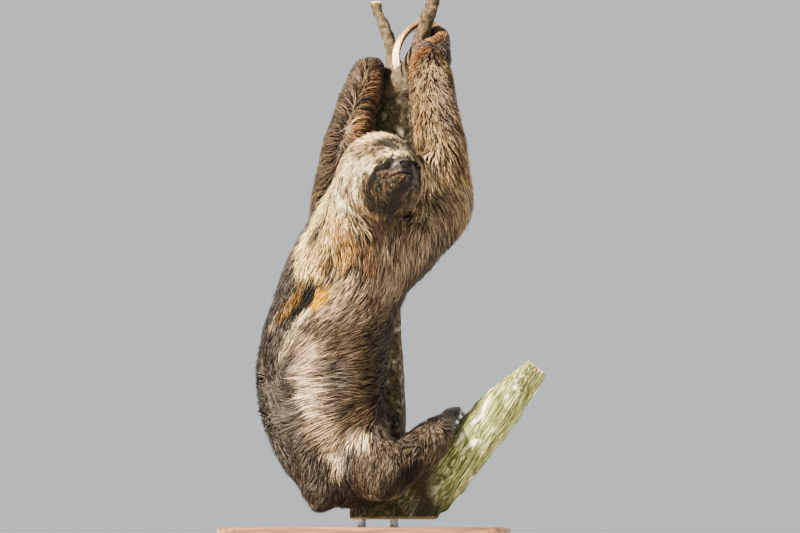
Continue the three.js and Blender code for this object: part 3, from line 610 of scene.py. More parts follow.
def lie_of_fur(points, normals, told):
    """The way the tips point at each place on the skin."""
    place = to_head(points)
    flow = np.zeros_like(points)
    for name, (share, heading, foot, _) in told.items():
        if name == "trunk":
            z = points[:, 2] / MM
            table = np.array(TRUNK_SWEEP, float).T
            falling = np.interp(z, table[0], table[1])[:, None]
            sweeping = np.interp(z, table[0], table[2])[:, None]
            way = falling * DOWN + sweeping * BACKWARD
        elif name == "head":
            out = unit(points - from_head(*MUZZLE_TIP))
            gap = np.linalg.norm(place - MUZZLE_TIP, axis=1)
            crown = ease(place[:, 2], 5, 25) * ease(-np.abs(place[:, 1]), -38, -18)
            hang = (ease(gap, 26, 50) * (1 - crown * ease(place[:, 0], -20, 10)))[:, None]
            way = out * (1 - hang) + (DOWN - .25 * FORWARD) * hang
        elif name == "arm_left":
            # The fur parts down the front of this arm, and arches away from it to both sides.
            outward = unit(points - foot)
            facing = (outward @ LEFT_PARTING)[:, None]
            aside = unit(outward - facing * LEFT_PARTING)
            arch = ease(facing, .2, .95)
            way = aside * (.35 + .95 * arch) - heading * (1 - 1.35 * arch)
        elif name in PARTINGS:
            parting = unit(np.array(PARTINGS[name]))
            way = -heading + .15 * DOWN - .55 * parting
        elif name in ("neck", "thigh_right", "thigh_left"):
            way = np.tile(DOWN, (len(points), 1)) - (.35 * BACKWARD if name == "neck" else 0)
        else:
            way = heading
        flow += share[:, None] * way
    for *spot, along_x, along_z, reach in STROKES:
        near = np.exp(-(np.linalg.norm(points / MM - spot, axis=1) / reach) ** 2)
        flow += STROKE_PULL * near[:, None] * unit(np.array([along_x, 0, along_z], float))
    stray = np.stack([mottle(points, .022, seed) for seed in (11, 12, 13)], 1)
    flow = unit(flow) + STRAY * stray
    return unit(flow - (flow * normals).sum(1, keepdims=True) * normals)


def even_out(vectors, normals, edges, rounds):
    """Blends each place's direction with its neighbours', and lays it on the skin again."""
    for _ in range(rounds):
        total = with_neighbours(vectors, edges)
        vectors = unit(total - (total * normals).sum(1, keepdims=True) * normals)
    return vectors


# ---------------------------------------------------------------- the skin

SWELL = .0009                                  # solids swell by this much, so that they join
VOXEL = .0030                                  # grid that draws several solids into one surface
MOST_TAKEN, MOST_GIVEN = .002, .005            # limits on what fill_out moves
SHOULDER_CREASE = (58, -82, 424)               # between the cheek and the right shoulder
FACE_MIDDLE = (50, 0, -13)                     # in the head's own axes


def lid_opening(points, side):
    """How far out from the slit between the lids each point is: 1 at their edge."""
    sign = 1 if side == "left" else -1
    gaze = unit(FORWARD * .74 + LEFTWARD * sign * .64 + UPWARD * .16)
    across = unit(np.cross(UPWARD, gaze))
    raised = np.cross(gaze, across)
    ray = unit(points - from_head(*EYE[side]))
    ahead = np.maximum(ray @ gaze, .05)
    a, b = ray @ across / ahead, ray @ raised / ahead + .10
    opening = np.hypot(a / .66, b / .15)
    opening[ray @ gaze < .12] = 9
    return opening


def shape_eyelids(points):
    """Opens the lids over each eye, with a rolled rim, and keeps the rest of the ball covered."""
    for side, place in EYE.items():
        out = points - from_head(*place)
        gap = np.linalg.norm(out, axis=1) / MM
        opening = lid_opening(points, side)
        rim, sunk = EYE_RADIUS + 1, 1.6
        wanted = EYE_RADIUS - sunk + (rim - EYE_RADIUS + sunk) * ease(opening, 1, 1.3)
        share = (1 - ease(opening, 1.5, 2.8)) * (1 - ease(gap, 12, 18))
        new = gap + (wanted - gap) * share
        new = np.where(opening > 1.3, np.maximum(new, EYE_RADIUS + .7), new)
        points = points + unit(out) * ((new - gap) * MM)[:, None]
    return points


def shape_muzzle(points, normals):
    """Cuts the mouth line, swells the lips, sinks a cleft under the nose and hollows the cheeks beside
    it.
    """
    f, l, u = to_head(points).T
    in_front = ease(f, 28, 38)
    side = np.abs(l + 1)
    mouth = -20.8 - 3 * ease(side, 9, 18) + 1.2 * ease(side, 18, 26)
    reach = 1 - ease(side, 23, 28)
    groove = -2.1 * np.exp(-((u - mouth) / 1.15) ** 2) * reach
    lips = .9 * np.exp(-((u - mouth - 3) / 1.9) ** 2) + .8 * np.exp(-((u - mouth + 3.2) / 2.1) ** 2)
    cleft = -.9 * np.exp(-(l / 1.1) ** 2) * ease(u, -22, -19) * ease(-u, 13, 17)
    cheek = -.8 * np.exp(-((np.abs(l) - 15) / 5) ** 2 - ((u + 4) / 6) ** 2)
    push = (groove + lips * reach + cleft * .6 + cheek) * in_front
    return points + normals * (push * MM)[:, None]


def fill_out(skin, coat_tips):
    """Gives back what the smoothing took, so that the coat on the skin reaches its full outline."""
    points, normals = points_of(skin), normals_of(skin)
    depth, _ = coat_measures(points, shares(points))
    gap = np.array([coat_tips.find_nearest(point)[3] for point in points])
    lack = np.clip(gap - SWELL - depth, -MOST_TAKEN, MOST_GIVEN)
    edges = edges_of(skin)
    count = with_neighbours(np.ones(len(points)), edges)
    for _ in range(4):
        lack = with_neighbours(lack, edges) / count
    move_points(skin, points + normals * lack[:, None])


def fill_crease(skin, spot, reach, rounds):
    """Evens the skin about a spot, so that a crease there is no deeper than its fur can bridge."""
    points = points_of(skin)
    near = .9 * np.exp(-(np.linalg.norm(points / MM - spot, axis=1) / reach) ** 2)[:, None]
    edges = edges_of(skin)
    count = with_neighbours(np.ones((len(points), 1)), edges)
    for _ in range(rounds):
        points += near * (with_neighbours(points, edges) / count - points)
    move_points(skin, points)


def build_skin():
    """One closed skin inside all the solids of flesh, finest on the face."""
    skin = one_surface(FLESH + ["eye_right", "eye_left", "nose"], "skin", SWELL, VOXEL)
    coat_tips = BVHTree.FromObject(skin, bpy.context.evaluated_depsgraph_get())
    finish_with(skin, "SMOOTH", factor=.5, iterations=10)
    points, normals = points_of(skin), normals_of(skin)
    depth, _ = coat_measures(points, shares(points))
    move_points(skin, points - normals * (depth + SWELL)[:, None])
    finish_with(skin, "REMESH", mode="VOXEL", voxel_size=VOXEL)
    finish_with(skin, "SMOOTH", factor=.5, iterations=5)
    fill_out(skin, coat_tips)
    fill_crease(skin, SHOULDER_CREASE, reach=13, rounds=120)
    for radius in (.052, .030):
        only(skin)
        mesh = skin.data
        place = to_head(read(mesh.polygons, "center", 3).astype(float))
        near = np.linalg.norm((place - FACE_MIDDLE) * (1, .85, 1), axis=1) * MM < radius
        mesh.polygons.foreach_set("select", near & (place[:, 0] > 20))
        mesh.update()
        bpy.ops.object.mode_set(mode="EDIT")
        bpy.ops.mesh.select_mode(type="FACE")
        bpy.ops.mesh.subdivide(number_cuts=1, smoothness=0, quadcorner="INNERVERT")
        bpy.ops.object.mode_set(mode="OBJECT")
    finish_with(skin, "SMOOTH", factor=.5, iterations=2)
    move_points(skin, shape_muzzle(points_of(skin), normals_of(skin)))
    move_points(skin, shape_eyelids(points_of(skin)))
    smooth_shade(skin)
    return skin


def unwrap_skin(skin):
    """Opens the skin out flat, so that each lock knows its own place on the sheet."""
    only(skin)
    skin.data.uv_layers.new(name="OFBake")
    bpy.ops.object.mode_set(mode="EDIT")
    bpy.ops.mesh.select_all(action="SELECT")
    bpy.ops.uv.smart_project(angle_limit=math.radians(66), island_margin=.003)
    bpy.ops.object.mode_set(mode="OBJECT")
    mesh = skin.data
    mesh.calc_loop_triangles()
    return read(mesh.uv_layers["OFBake"].data, "uv", 2)


def paint_hide(skin, told):
    """Paints the hide in the colours of the fur that shows over it, darker with painted shade where fur
    covers it.
    """
    points = points_of(skin)
    depth, _ = coat_measures(points, told)
    shows = points + normals_of(skin) * depth[:, None]
    pale, dark, part = markings(shows, shares(shows))
    bare = 1 - ease(bare_places(points), .3, .9)
    mean = dark + (part[:, None] * .8) * (pale - dark)
    # Painted shade: under fur the hide is darkened to 0.42 of the fur's colour, as the shade between the
    # locks; bare skin keeps the full colour.
    paint(skin, "Hide", mean * (.42 + .58 * bare)[:, None])


# ---------------------------------------------------------------- the coat

COAT_PIECES = ["head", "neck", "trunk", "tail", "arm_right", "arm_left", "leg_right", "leg_left"]
LOCK_LIMIT = 185000                            # triangles in one piece of coat
LOCK_LENGTHS = (4, 9, 14, 20, 32)              # in millimetres, with the widths that go with them
LOCK_WIDTHS = (.45, .6, .88, 1.08, 1.28)
COVER = 4.8                                    # layers of locks over each other
FILL = .62                                     # how much of its length by its width a lock covers
SHORT_LOCK = .0165                             # a lock under this length is drawn in two steps
ROOT_DEPTH = .0008                             # a lock starts this deep in the skin
ONWARD, OBEY, HABIT = .45, .55, .10            # a step's weights: its last way, the fur's, its first
WAVER = .00045                                 # chance bends to the side at each step
CLUMP = 5                                      # locks whose tips are drawn together
LOOSE_PULL, TIGHT_PULL = .2, .42               # how far they are drawn
TIGHT_FROM = .012                              # a lock from this length on has the tight pull
PATCH = .003                                   # width of a lock's own patch on the flat sheet


def sow(skin, uv, rng, crowd):
    """Chance roots over the skin, evenly spread: triangle, place, and place on the flat sheet."""
    triangles = skin.data.loop_triangles
    corner = read(triangles, "vertices", 3, np.int32)
    loop = read(triangles, "loops", 3, np.int32)
    points = points_of(skin)
    a, b, c = (points[corner[:, i]] for i in range(3))
    area = np.linalg.norm(np.cross(b - a, c - a), axis=1) / 2
    total = np.cumsum(crowd[corner].mean(1) * area)
    number = int(total[-1])
    pick = np.searchsorted(total, (np.arange(number) + rng.random(number)) / number * total[-1])
    pick = np.minimum(pick, len(triangles) - 1)
    r, s = rng.random((2, number))
    r = np.sqrt(r)
    mix = np.stack([1 - r, r * (1 - s), r * s], 1)
    root = (points[corner[pick]] * mix[:, :, None]).sum(1)
    sheet = (uv[loop[pick]] * mix[:, :, None]).sum(1)
    return corner[pick], mix, root, sheet


def comb(under, root, normal, way, length, depth, steps, rng):
    """Walks each lock over the skin, a step at a time, following the lie of the fur."""
    tree, faces, normals, lie = under
    number = len(root)
    path = np.zeros((number, steps + 1, 3))
    lift = np.zeros((number, steps + 1, 3))
    own_way = way
    normal = unit(normal)
    path[:, 0] = root - normal * ROOT_DEPTH
    lift[:, 0] = normal
    here = root.copy()
    rise = rng.uniform(.92, 1.22, number) + (rng.random(number) < .05) * rng.uniform(.1, .45, number)
    for step in range(1, steps + 1):
        ahead = here + way * (length / steps)[:, None]
        nearest, face = np.empty((number, 3)), np.empty(number, int)
        for i, point in enumerate(ahead):
            nearest[i], _, face[i], _ = tree.find_nearest(point)
        around = faces[face]
        normal = unit(normals[around].mean(1))
        following = unit(lie[around].mean(1))
        way = unit(ONWARD * way + OBEY * following + HABIT * own_way)
        way = unit(way - (way * normal).sum(1, keepdims=True) * normal)
        t = step / steps
        height = depth * rise * (1 - (1 - t) ** 1.7)
        wave = rng.normal(0, WAVER, number)[:, None] * np.cross(way, normal)
        path[:, step] = nearest + normal * height[:, None] + wave
        lift[:, step] = normal
        here = nearest
    return path, lift


def gather(path, root, rng, size, pull):
    """Draws the tips of neighbours together, as a coat that has hung in the rain for months."""
    number = len(root)
    leaders = rng.permutation(number)[: max(1, int(number / size))]
    tree = KDTree(len(leaders))
    for i, leader in enumerate(leaders):
        tree.insert(root[leader], i)
    tree.balance()
    own = np.array([leaders[tree.find(point)[1]] for point in root])
    steps = path.shape[1] - 1
    side = path[:, -1] - path[own, -1]
    for step in range(1, steps + 1):
        share = pull * (step / steps) ** 1.3
        goal = path[own, step] + side * .12
        path[:, step] += share[:, None] * (goal - path[:, step])


def tint_locks(root, path, rng):
    """One colour a lock, from the marking at the place where the lock shows."""
    number = len(root)
    show = rng.uniform(.25, 1, number)[:, None]
    shows = path[:, 1] * (1 - show) + path[:, -1] * show
    pale, dark, part = markings(shows, shares(shows))
    # Chance tones added up along each lock agree from lock to lock, and draw long streaks.
    places = [path[:, 0]] + [path[:, i] * (1 - t) + path[:, i + 1] * t
                             for i in range(path.shape[1] - 1) for t in (.5, 1)]
    streak = sum(mottle(place, .0021, 5) for place in places) / len(places) / .17
    patch = mottle(root, .009, 6) * .2 + mottle(root, .03, 7) * .15
    tone = np.clip(part + .4 * streak + patch + rng.normal(0, .22, number), -.1, 1.2)[:, None]
    colours = np.clip(dark + tone * (pale - dark), .002, 1)
    fleck = np.where(rng.random(number) < .15, .3, 1)
    return colours * (fleck * rng.uniform(.88, 1.12, number))[:, None]


def lock_mesh(name, path, lift, width, colours, sheet):
    """Locks as closed, tapering, three-sided spikes: rings of three points and a tip."""
    number, rings = path.shape[0], path.shape[1] - 1
    way = np.zeros_like(path)
    way[:, 1:-1] = path[:, 2:] - path[:, :-2]
    way[:, 0], way[:, -1] = path[:, 1] - path[:, 0], path[:, -1] - path[:, -2]
    way = unit(way)
    across = unit(np.cross(way, lift))
    up = np.cross(across, way)
    taper = {2: (.8, 1), 3: (.75, 1, .72)}[rings]
    per = rings * 3 + 1
    points = np.empty((number, per, 3))
    for ring in range(rings):
        half = (width * .5 * taper[ring])[:, None]
        points[:, ring * 3] = path[:, ring] - across[:, ring] * half
        points[:, ring * 3 + 1] = path[:, ring] + across[:, ring] * half
        points[:, ring * 3 + 2] = path[:, ring] + up[:, ring] * half * .9
    points[:, -1] = path[:, -1]
    quads, tip = [], rings * 3
    for ring in range(rings - 1):
        for i in range(3):
            j, low, high = (i + 1) % 3, ring * 3, ring * 3 + 3
            quads.append((low + i, low + j, high + j, high + i))
    ends = [((rings - 1) * 3 + i, (rings - 1) * 3 + (i + 1) % 3, tip) for i in range(3)]
    ends.append((2, 1, 0))
    base = (np.arange(number) * per)[:, None]
    quad_corners = (base[:, :, None] + np.array(quads, int)[None]).reshape(number, -1)
    end_corners = (base[:, :, None] + np.array(ends, int)[None]).reshape(number, -1)
    corners = np.concatenate([quad_corners, end_corners], 1)
    sizes = np.tile([4] * len(quads) + [3] * len(ends), number)
    mesh = bpy.data.meshes.new(name)
    mesh.vertices.add(number * per)
    mesh.vertices.foreach_set("co", points.astype(np.float32).ravel())
    mesh.loops.add(corners.size)
    mesh.loops.foreach_set("vertex_index", corners.astype(np.int32).ravel())
    mesh.polygons.add(len(sizes))
    starts = np.concatenate([[0], np.cumsum(sizes)[:-1]])
    mesh.polygons.foreach_set("loop_start", starts.astype(np.int32))
    mesh.polygons.foreach_set("use_smooth", np.ones(len(sizes), bool))
    patch = np.empty((per, 2))
    for ring in range(rings):
        patch[ring * 3: ring * 3 + 3] = [(x, ring / rings) for x in (0, 1, .5)]
    patch[-1] = (.5, 1)
    spots = (sheet[:, None] + (patch[None] - .5) * PATCH).reshape(-1, 2)[corners.ravel()]
    mesh.uv_layers.new(name="OFBake").data.foreach_set("uv", spots.astype(np.float32).ravel())
    mesh.update(calc_edges=True)
    thing = bpy.data.objects.new(name, mesh)
    bpy.context.scene.collection.objects.link(thing)
    # Painted shade darkens each lock towards its root, deep in the coat; its tip is a little paler.
    shade = np.repeat([.5, .82, 1, 1.1][-rings - 1:], [3] * rings + [1])
    tinted = np.repeat(colours, per, 0) * np.tile(shade, number)[:, None]
    paint(thing, "Fur", np.clip(tinted, 0, 1))
    return thing


def build_coat(skin, uv, told):
    """Every lock of the coat, in pieces that each stay under the limit."""
    rng = np.random.default_rng(20)
    points, normals = points_of(skin), normals_of(skin)
    lie = even_out(lie_of_fur(points, normals, told), normals, edges_of(skin), 4)
    depth, length = coat_measures(points, told)
    width = np.interp(length / MM, LOCK_LENGTHS, LOCK_WIDTHS) * MM
    names = list(told)
    main = np.argmax([told[name][0] for name in names], axis=0)
    crowd = COVER / (width * length * FILL) * bare_places(points)
    corner, mix, root, sheet = sow(skin, uv, rng, crowd)
    number = len(root)

    def at_roots(values):
        picked = values[corner]
        return (picked * (mix[:, :, None] if picked.ndim == 3 else mix)).sum(1)

    own_length = at_roots(length) * rng.uniform(.72, 1.25, number)
    own_width = at_roots(width) * rng.uniform(.6, 1.35, number)
    own_depth = at_roots(depth)
    normal = unit(at_roots(normals))
    tangle = .17 + .3 * at_roots(told["arm_left"][0]) + .22 * at_roots(told["arm_right"][0])
    turn = (rng.normal(0, 1, number) * tangle)[:, None]
    way = unit(at_roots(lie))
    way = unit(way + turn * np.cross(normal, way))
    tree = BVHTree.FromObject(skin, bpy.context.evaluated_depsgraph_get())
    under = tree, skin_faces(skin), normals, lie
    region = np.array([COAT_PIECES.index(piece_of(names[m])) for m in main])[corner[:, 0]]
    coat = []
    short = own_length < SHORT_LOCK
    for kind, steps, chosen in (("short", 2, short), ("long", 3, ~short)):
        index = np.flatnonzero(chosen)
        path, lift = comb(under, root[index], normal[index], way[index], own_length[index],
                          own_depth[index], steps, rng)
        pull = np.where(own_length[index] < TIGHT_FROM, LOOSE_PULL, TIGHT_PULL)
        gather(path, root[index], rng, CLUMP, pull)
        colours = tint_locks(root[index], path, rng)
        each = 6 * (steps - 1) + 4             # triangles in a lock
        for order, piece in enumerate(COAT_PIECES):
            mine = np.flatnonzero(region[index] == order)
            if not len(mine):
                continue
            mine = mine[np.argsort(root[index][mine][:, 2], kind="stable")]
            parts = max(1, math.ceil(len(mine) * each / LOCK_LIMIT))
            for i, group in enumerate(np.array_split(mine, parts)):
                coat.append(lock_mesh(f"coat_{piece}_{kind}_{i + 1}", path[group], lift[group],
                                      own_width[index][group], colours[group],
                                      sheet[index][group]))
    return coat


def skin_faces(skin):
    """The first three corners of every face, to look up what lies under a lock."""
    start = read(skin.data.polygons, "loop_start", 1, np.int32)
    corner = read(skin.data.loops, "vertex_index", 1, np.int32)[:, 0]
    return corner[start + (0, 1, 2)]


def piece_of(line):
    if line.startswith("hand"):
        return "arm" + line[4:]
    if line.split("_")[0] in ("thigh", "shank", "foot"):
        return "leg_" + line.split("_")[1]
    return line


def bare_places(points):
    """0 where no fur grows: the nose, the lips, the eyelids' rims; 1 elsewhere."""
    place = to_head(points)
    grows = np.ones(len(points))
    mirrored = np.stack([place[:, 0], np.abs(place[:, 1]), place[:, 2]], 1)
    grows *= ease(stroke_gap(mirrored, [(59, 0, -9), (57, 9, -10)]), 8, 10)
    grows *= .25 + .75 * ease(stroke_gap(mirrored, [(56, 0, -21), (53, 12, -21), (46, 23, -21)]), 2, 5)
    grows *= .12 + .88 * ease(stroke_gap(mirrored, [(58, 0, -3), (57, 8, -10), (52, 16, -16)]), 6.5, 9)
    for side, eye in EYE.items():
        near = 1 - ease(np.linalg.norm(place - eye, axis=1), 8, 9)
        grows *= 1 - near * (1 - ease(lid_opening(points, side), 1.6, 2.4))
    return grows


# ---------------------------------------------------------------- materials

def put(tree, kind, wires=(), ramp=(), **settings):
    """Adds one node: its own settings, then each input as a value or a link, then a ramp's colours."""
    new = tree.nodes.new("ShaderNode" + kind)
    for key, value in settings.items():
        setattr(new, key, value)
    for name, value in dict(wires).items():
        if isinstance(value, bpy.types.NodeSocket):
            tree.links.new(value, new.inputs[name])
        else:
            new.inputs[name].default_value = value
    for i, (place, code) in enumerate(ramp):
        stop = new.color_ramp.elements[i] if i < 2 else new.color_ramp.elements.new(place)
        stop.position, stop.color = place, (*hue(code), 1)
    return new


def new_material(name, **shader):
    """An empty material with its shader, whose constant values are set on its own sockets.

    It comes back with its nodes, its shader and the place on the object that textures go by.
    """
    material = bpy.data.materials.new(name)
    material.use_nodes = True
    tree = material.node_tree
    tree.nodes.clear()
    surface = put(tree, "BsdfPrincipled", {key.replace("_", " "): v for key, v in shader.items()})
    put(tree, "OutputMaterial", {"Surface": surface.outputs[0]})
    return material, tree, surface, put(tree, "TexCoord").outputs["Object"]


def fur_material():
    # Guard hair, keratin with a grooved matt cuticle: dull, with a faint silky sheen along a lock.
    material, tree, surface, place = new_material("fur_guard_hair", Roughness=.62,
                                                  Specular_IOR_Level=.1, Sheen_Weight=.02,
                                                  Sheen_Roughness=.5)
    painted = put(tree, "Attribute", attribute_name="Fur").outputs["Color"]
    # Single hairs are about 0.1 mm, too fine to show; the grain is drawn at 0.8 mm.
    grain = put(tree, "TexNoise", {"Vector": place, "Scale": 1250, "Detail": 2}).outputs["Fac"]
    band = put(tree, "ValToRGB", {"Fac": grain}, ramp=[(.3, "#b8b2aa"), (.7, "#ffffff")])
    mixed = put(tree, "Mix", {"Factor": .8, "A": painted, "B": band.outputs["Color"]},
                data_type="RGBA", blend_type="MULTIPLY")
    tree.links.new(mixed.outputs["Result"], surface.inputs["Base Color"])
    bump = put(tree, "Bump", {"Height": grain, "Strength": .25, "Distance": .0004})
    tree.links.new(bump.outputs["Normal"], surface.inputs["Normal"])
    return material


def skin_material():
    # Hide under a coat: dull leather, dark between the locks; bare and finely pored on the muzzle.
    # The darkness between the locks comes from the hide's painted shade.
    material, tree, surface, place = new_material("hide_under_fur", Roughness=.62, Specular_IOR_Level=.2)
    painted = put(tree, "Attribute", attribute_name="Hide").outputs["Color"]
    # Pores and creases of the bare muzzle are 0.6 to 1 mm apart.
    pores = put(tree, "TexVoronoi", {"Vector": place, "Scale": 1100, "Randomness": 1}).outputs["Distance"]
    fluff = put(tree, "TexNoise", {"Vector": place, "Scale": 700, "Detail": 3}).outputs["Fac"]
    band = put(tree, "ValToRGB", {"Fac": fluff}, ramp=[(.32, "#a49c94"), (.66, "#ffffff")])
    mixed = put(tree, "Mix", {"Factor": .9, "A": painted, "B": band.outputs["Color"]},
                data_type="RGBA", blend_type="MULTIPLY")
    tree.links.new(mixed.outputs["Result"], surface.inputs["Base Color"])
    fine = put(tree, "Bump", {"Height": pores, "Strength": .35, "Distance": .0003})
    bump = put(tree, "Bump", {"Height": fluff, "Strength": .4, "Distance": .0006,
                              "Normal": fine.outputs["Normal"]})
    tree.links.new(bump.outputs["Normal"], surface.inputs["Normal"])
    return material


def nose_material():
    # Bare nose leather: dusky grey, black in the nostrils, with a pebbled grain that breaks its gloss.
    # Its darker front and black nostrils are painted shade.
    material, tree, surface, place = new_material("nose_leather", Roughness=.55, Specular_IOR_Level=.12)
    painted = put(tree, "Attribute", attribute_name="Leather").outputs["Color"]
    # Pebbles about 0.7 mm across.
    pebble = put(tree, "TexVoronoi", {"Vector": place, "Scale": 1400}).outputs["Distance"]
    tone = put(tree, "ValToRGB", {"Fac": pebble}, ramp=[(.1, "#ffffff"), (.7, "#a09898")])
    mixed = put(tree, "Mix", {"Factor": .8, "A": painted, "B": tone.outputs["Color"]},
                data_type="RGBA", blend_type="MULTIPLY")
    tree.links.new(mixed.outputs["Result"], surface.inputs["Base Color"])
    # The moist rim has a low gloss, and the nostrils have none.
    gloss = put(tree, "MapRange", {"Value": painted, "From Max": .02, "To Min": 1, "To Max": .55})
    tree.links.new(gloss.outputs[0], surface.inputs["Roughness"])
    bump = put(tree, "Bump", {"Height": pebble, "Strength": .5, "Distance": .0003}, invert=True)
    tree.links.new(bump.outputs["Normal"], surface.inputs["Normal"])
    return material


def eye_material():
    # A glass eye: almost black brown iris round a black pupil, under a clear polished dome.
    material, tree, surface, place = new_material("glass_eye", Roughness=.06, Specular_IOR_Level=.6,
                                                  Coat_Weight=1.0, Coat_Roughness=.03)
    ring = put(tree, "Attribute", attribute_name="Gaze").outputs["Fac"]
    # The iris's fibres are about 0.4 mm wide.
    fibre = put(tree, "TexNoise", {"Vector": place, "Scale": 2600, "Detail": 2}).outputs["Fac"]
    tint = put(tree, "ValToRGB", {"Fac": ring}, ramp=[
        (.0, "#030202"), (.30, "#040302"), (.36, "#3a2213"), (.60, "#2c190d"), (.68, "#0c0705"),
        (1.0, "#1c120d")])
    mixed = put(tree, "Mix", {"Factor": .6, "A": tint.outputs["Color"], "B": fibre},
                data_type="RGBA", blend_type="MULTIPLY")
    tree.links.new(mixed.outputs["Result"], surface.inputs["Base Color"])
    return material


def claw_material():
    # Claw horn: cream keratin, red brown below and at the root, with growth lines along it.
    material, tree, surface, place = new_material("claw_horn", Roughness=.36, Specular_IOR_Level=.5,
                                                  Coat_Weight=.15, Coat_Roughness=.3)
    painted = put(tree, "Attribute", attribute_name="Horn").outputs["Color"]
    # A grain of growth lines 0.7 mm apart, and blotches of wear about 4 mm long.
    lines = put(tree, "TexNoise", {"Vector": place, "Scale": 1500, "Detail": 2}).outputs["Fac"]
    wear = put(tree, "TexNoise", {"Vector": place, "Scale": 240, "Detail": 3}).outputs["Fac"]
    band = put(tree, "ValToRGB", {"Fac": wear}, ramp=[(.35, "#a3968a"), (.62, "#ffffff")])
    mixed = put(tree, "Mix", {"Factor": .8, "A": painted, "B": band.outputs["Color"]},
                data_type="RGBA", blend_type="MULTIPLY")
    tree.links.new(mixed.outputs["Result"], surface.inputs["Base Color"])
    bump = put(tree, "Bump", {"Height": lines, "Strength": .3, "Distance": .0003})
    tree.links.new(bump.outputs["Normal"], surface.inputs["Normal"])
    return material


def bark_material():
    # Tropical bark: grey brown cork on the trunk, finely bumped twigs, and a green limb whose skin
    # splits in long pale streaks; moss in the damp hollows and white crusts of lichen.
    # Painted shade darkens the limb where the leg lies over it, and the trunk just below the fork.
    material, tree, surface, place = new_material("mossy_bark", Roughness=.88, Specular_IOR_Level=.2)
    growth = put(tree, "Attribute", attribute_name="Growth").outputs["Color"]
    part = put(tree, "SeparateColor", {"Color": growth})
    moss, lichen, sawn = (part.outputs[name] for name in ("Red", "Green", "Blue"))
    kind = put(tree, "Attribute", attribute_name="Kind").outputs["Color"]
    where = put(tree, "SeparateColor", {"Color": kind})
    limb, twig, shaded = (where.outputs[name] for name in ("Red", "Green", "Blue"))
    # Cork plates about 6 mm across, with a 1.5 mm grain in them.
    plates = put(tree, "TexVoronoi", {"Vector": place, "Scale": 160, "Randomness": 1},
                 feature="DISTANCE_TO_EDGE").outputs["Distance"]
    grain = put(tree, "TexNoise", {"Vector": place, "Scale": 640, "Detail": 5}).outputs["Fac"]
    blotch = put(tree, "TexNoise", {"Vector": place, "Scale": 150, "Detail": 6,
                                    "Roughness": .7}).outputs["Fac"]
    # Streaks along the limb, 2 mm wide and some 40 mm long: the limb leans 33 degrees.
    turned = put(tree, "Mapping", {"Vector": place, "Rotation": (0, -.575, 0)}).outputs["Vector"]
    drawn = put(tree, "Mapping", {"Vector": turned, "Scale": (1, 1, .05)}).outputs["Vector"]
    streak = put(tree, "TexNoise", {"Vector": drawn, "Scale": 520, "Detail": 3,
                                    "Roughness": .6}).outputs["Fac"]

    cork = put(tree, "ValToRGB", {"Fac": blotch}, ramp=[
        (.34, "#0c0a06"), (.46, "#2a241a"), (.56, "#4a4030"), (.68, "#7a705e")])
    twigs = put(tree, "ValToRGB", {"Fac": blotch}, ramp=[
        (.34, "#0a0704"), (.46, "#221810"), (.56, "#3c3024"), (.68, "#5c4e40")])
    skin_of_limb = put(tree, "ValToRGB", {"Fac": streak}, ramp=[
        (.34, "#20240e"), (.46, "#4a502a"), (.54, "#707648"), (.66, "#b2b48a")])
    # The dark browns of the painted shade.
    dull = put(tree, "ValToRGB", {"Fac": grain}, ramp=[
        (.35, "#14110c"), (.6, "#3c352a"), (.75, "#625848")])
    green = put(tree, "ValToRGB", {"Fac": grain}, ramp=[
        (.35, "#101208"), (.55, "#2c2c16"), (.7, "#4e4e2e")])
    crust = put(tree, "ValToRGB", {"Fac": grain}, ramp=[
        (.3, "#8e8c78"), (.6, "#cccabc"), (.75, "#e8e8de")])
    # Growth rings of the sawn ends, about 2.5 mm apart.
    ring = put(tree, "Attribute", attribute_name="Rings").outputs["Fac"]
    wave = put(tree, "Math", {0: ring, 1: 2 * math.pi / .0025}, operation="MULTIPLY").outputs[0]
    wobble = put(tree, "MapRange", {"Value": blotch, "To Min": -1.5, "To Max": 1.5}).outputs[0]
    phase = put(tree, "Math", {0: wave, 1: wobble}, operation="ADD").outputs[0]
    sine = put(tree, "Math", {0: phase}, operation="SINE").outputs[0]
    ripple = put(tree, "MapRange", {"Value": sine, "From Min": -1}).outputs[0]
    wood = put(tree, "ValToRGB", {"Fac": ripple}, ramp=[
        (.0, "#b08a5a"), (.55, "#d2b484"), (1, "#dcc59b")])
    colour = cork.outputs["Color"]
    for share, above in ((twig, twigs), (moss, green), (limb, skin_of_limb), (shaded, dull),
                         (lichen, crust), (sawn, wood)):
        colour = put(tree, "Mix", {"Factor": share, "A": colour, "B": above.outputs["Color"]},
                     data_type="RGBA").outputs["Result"]
    tree.links.new(colour, surface.inputs["Base Color"])
    deep = put(tree, "Bump", {"Height": plates, "Strength": .7, "Distance": .0012})
    bump = put(tree, "Bump", {"Height": grain, "Strength": .6, "Distance": .0008,
                              "Normal": deep.outputs["Normal"]})
    tree.links.new(bump.outputs["Normal"], surface.inputs["Normal"])
    return material


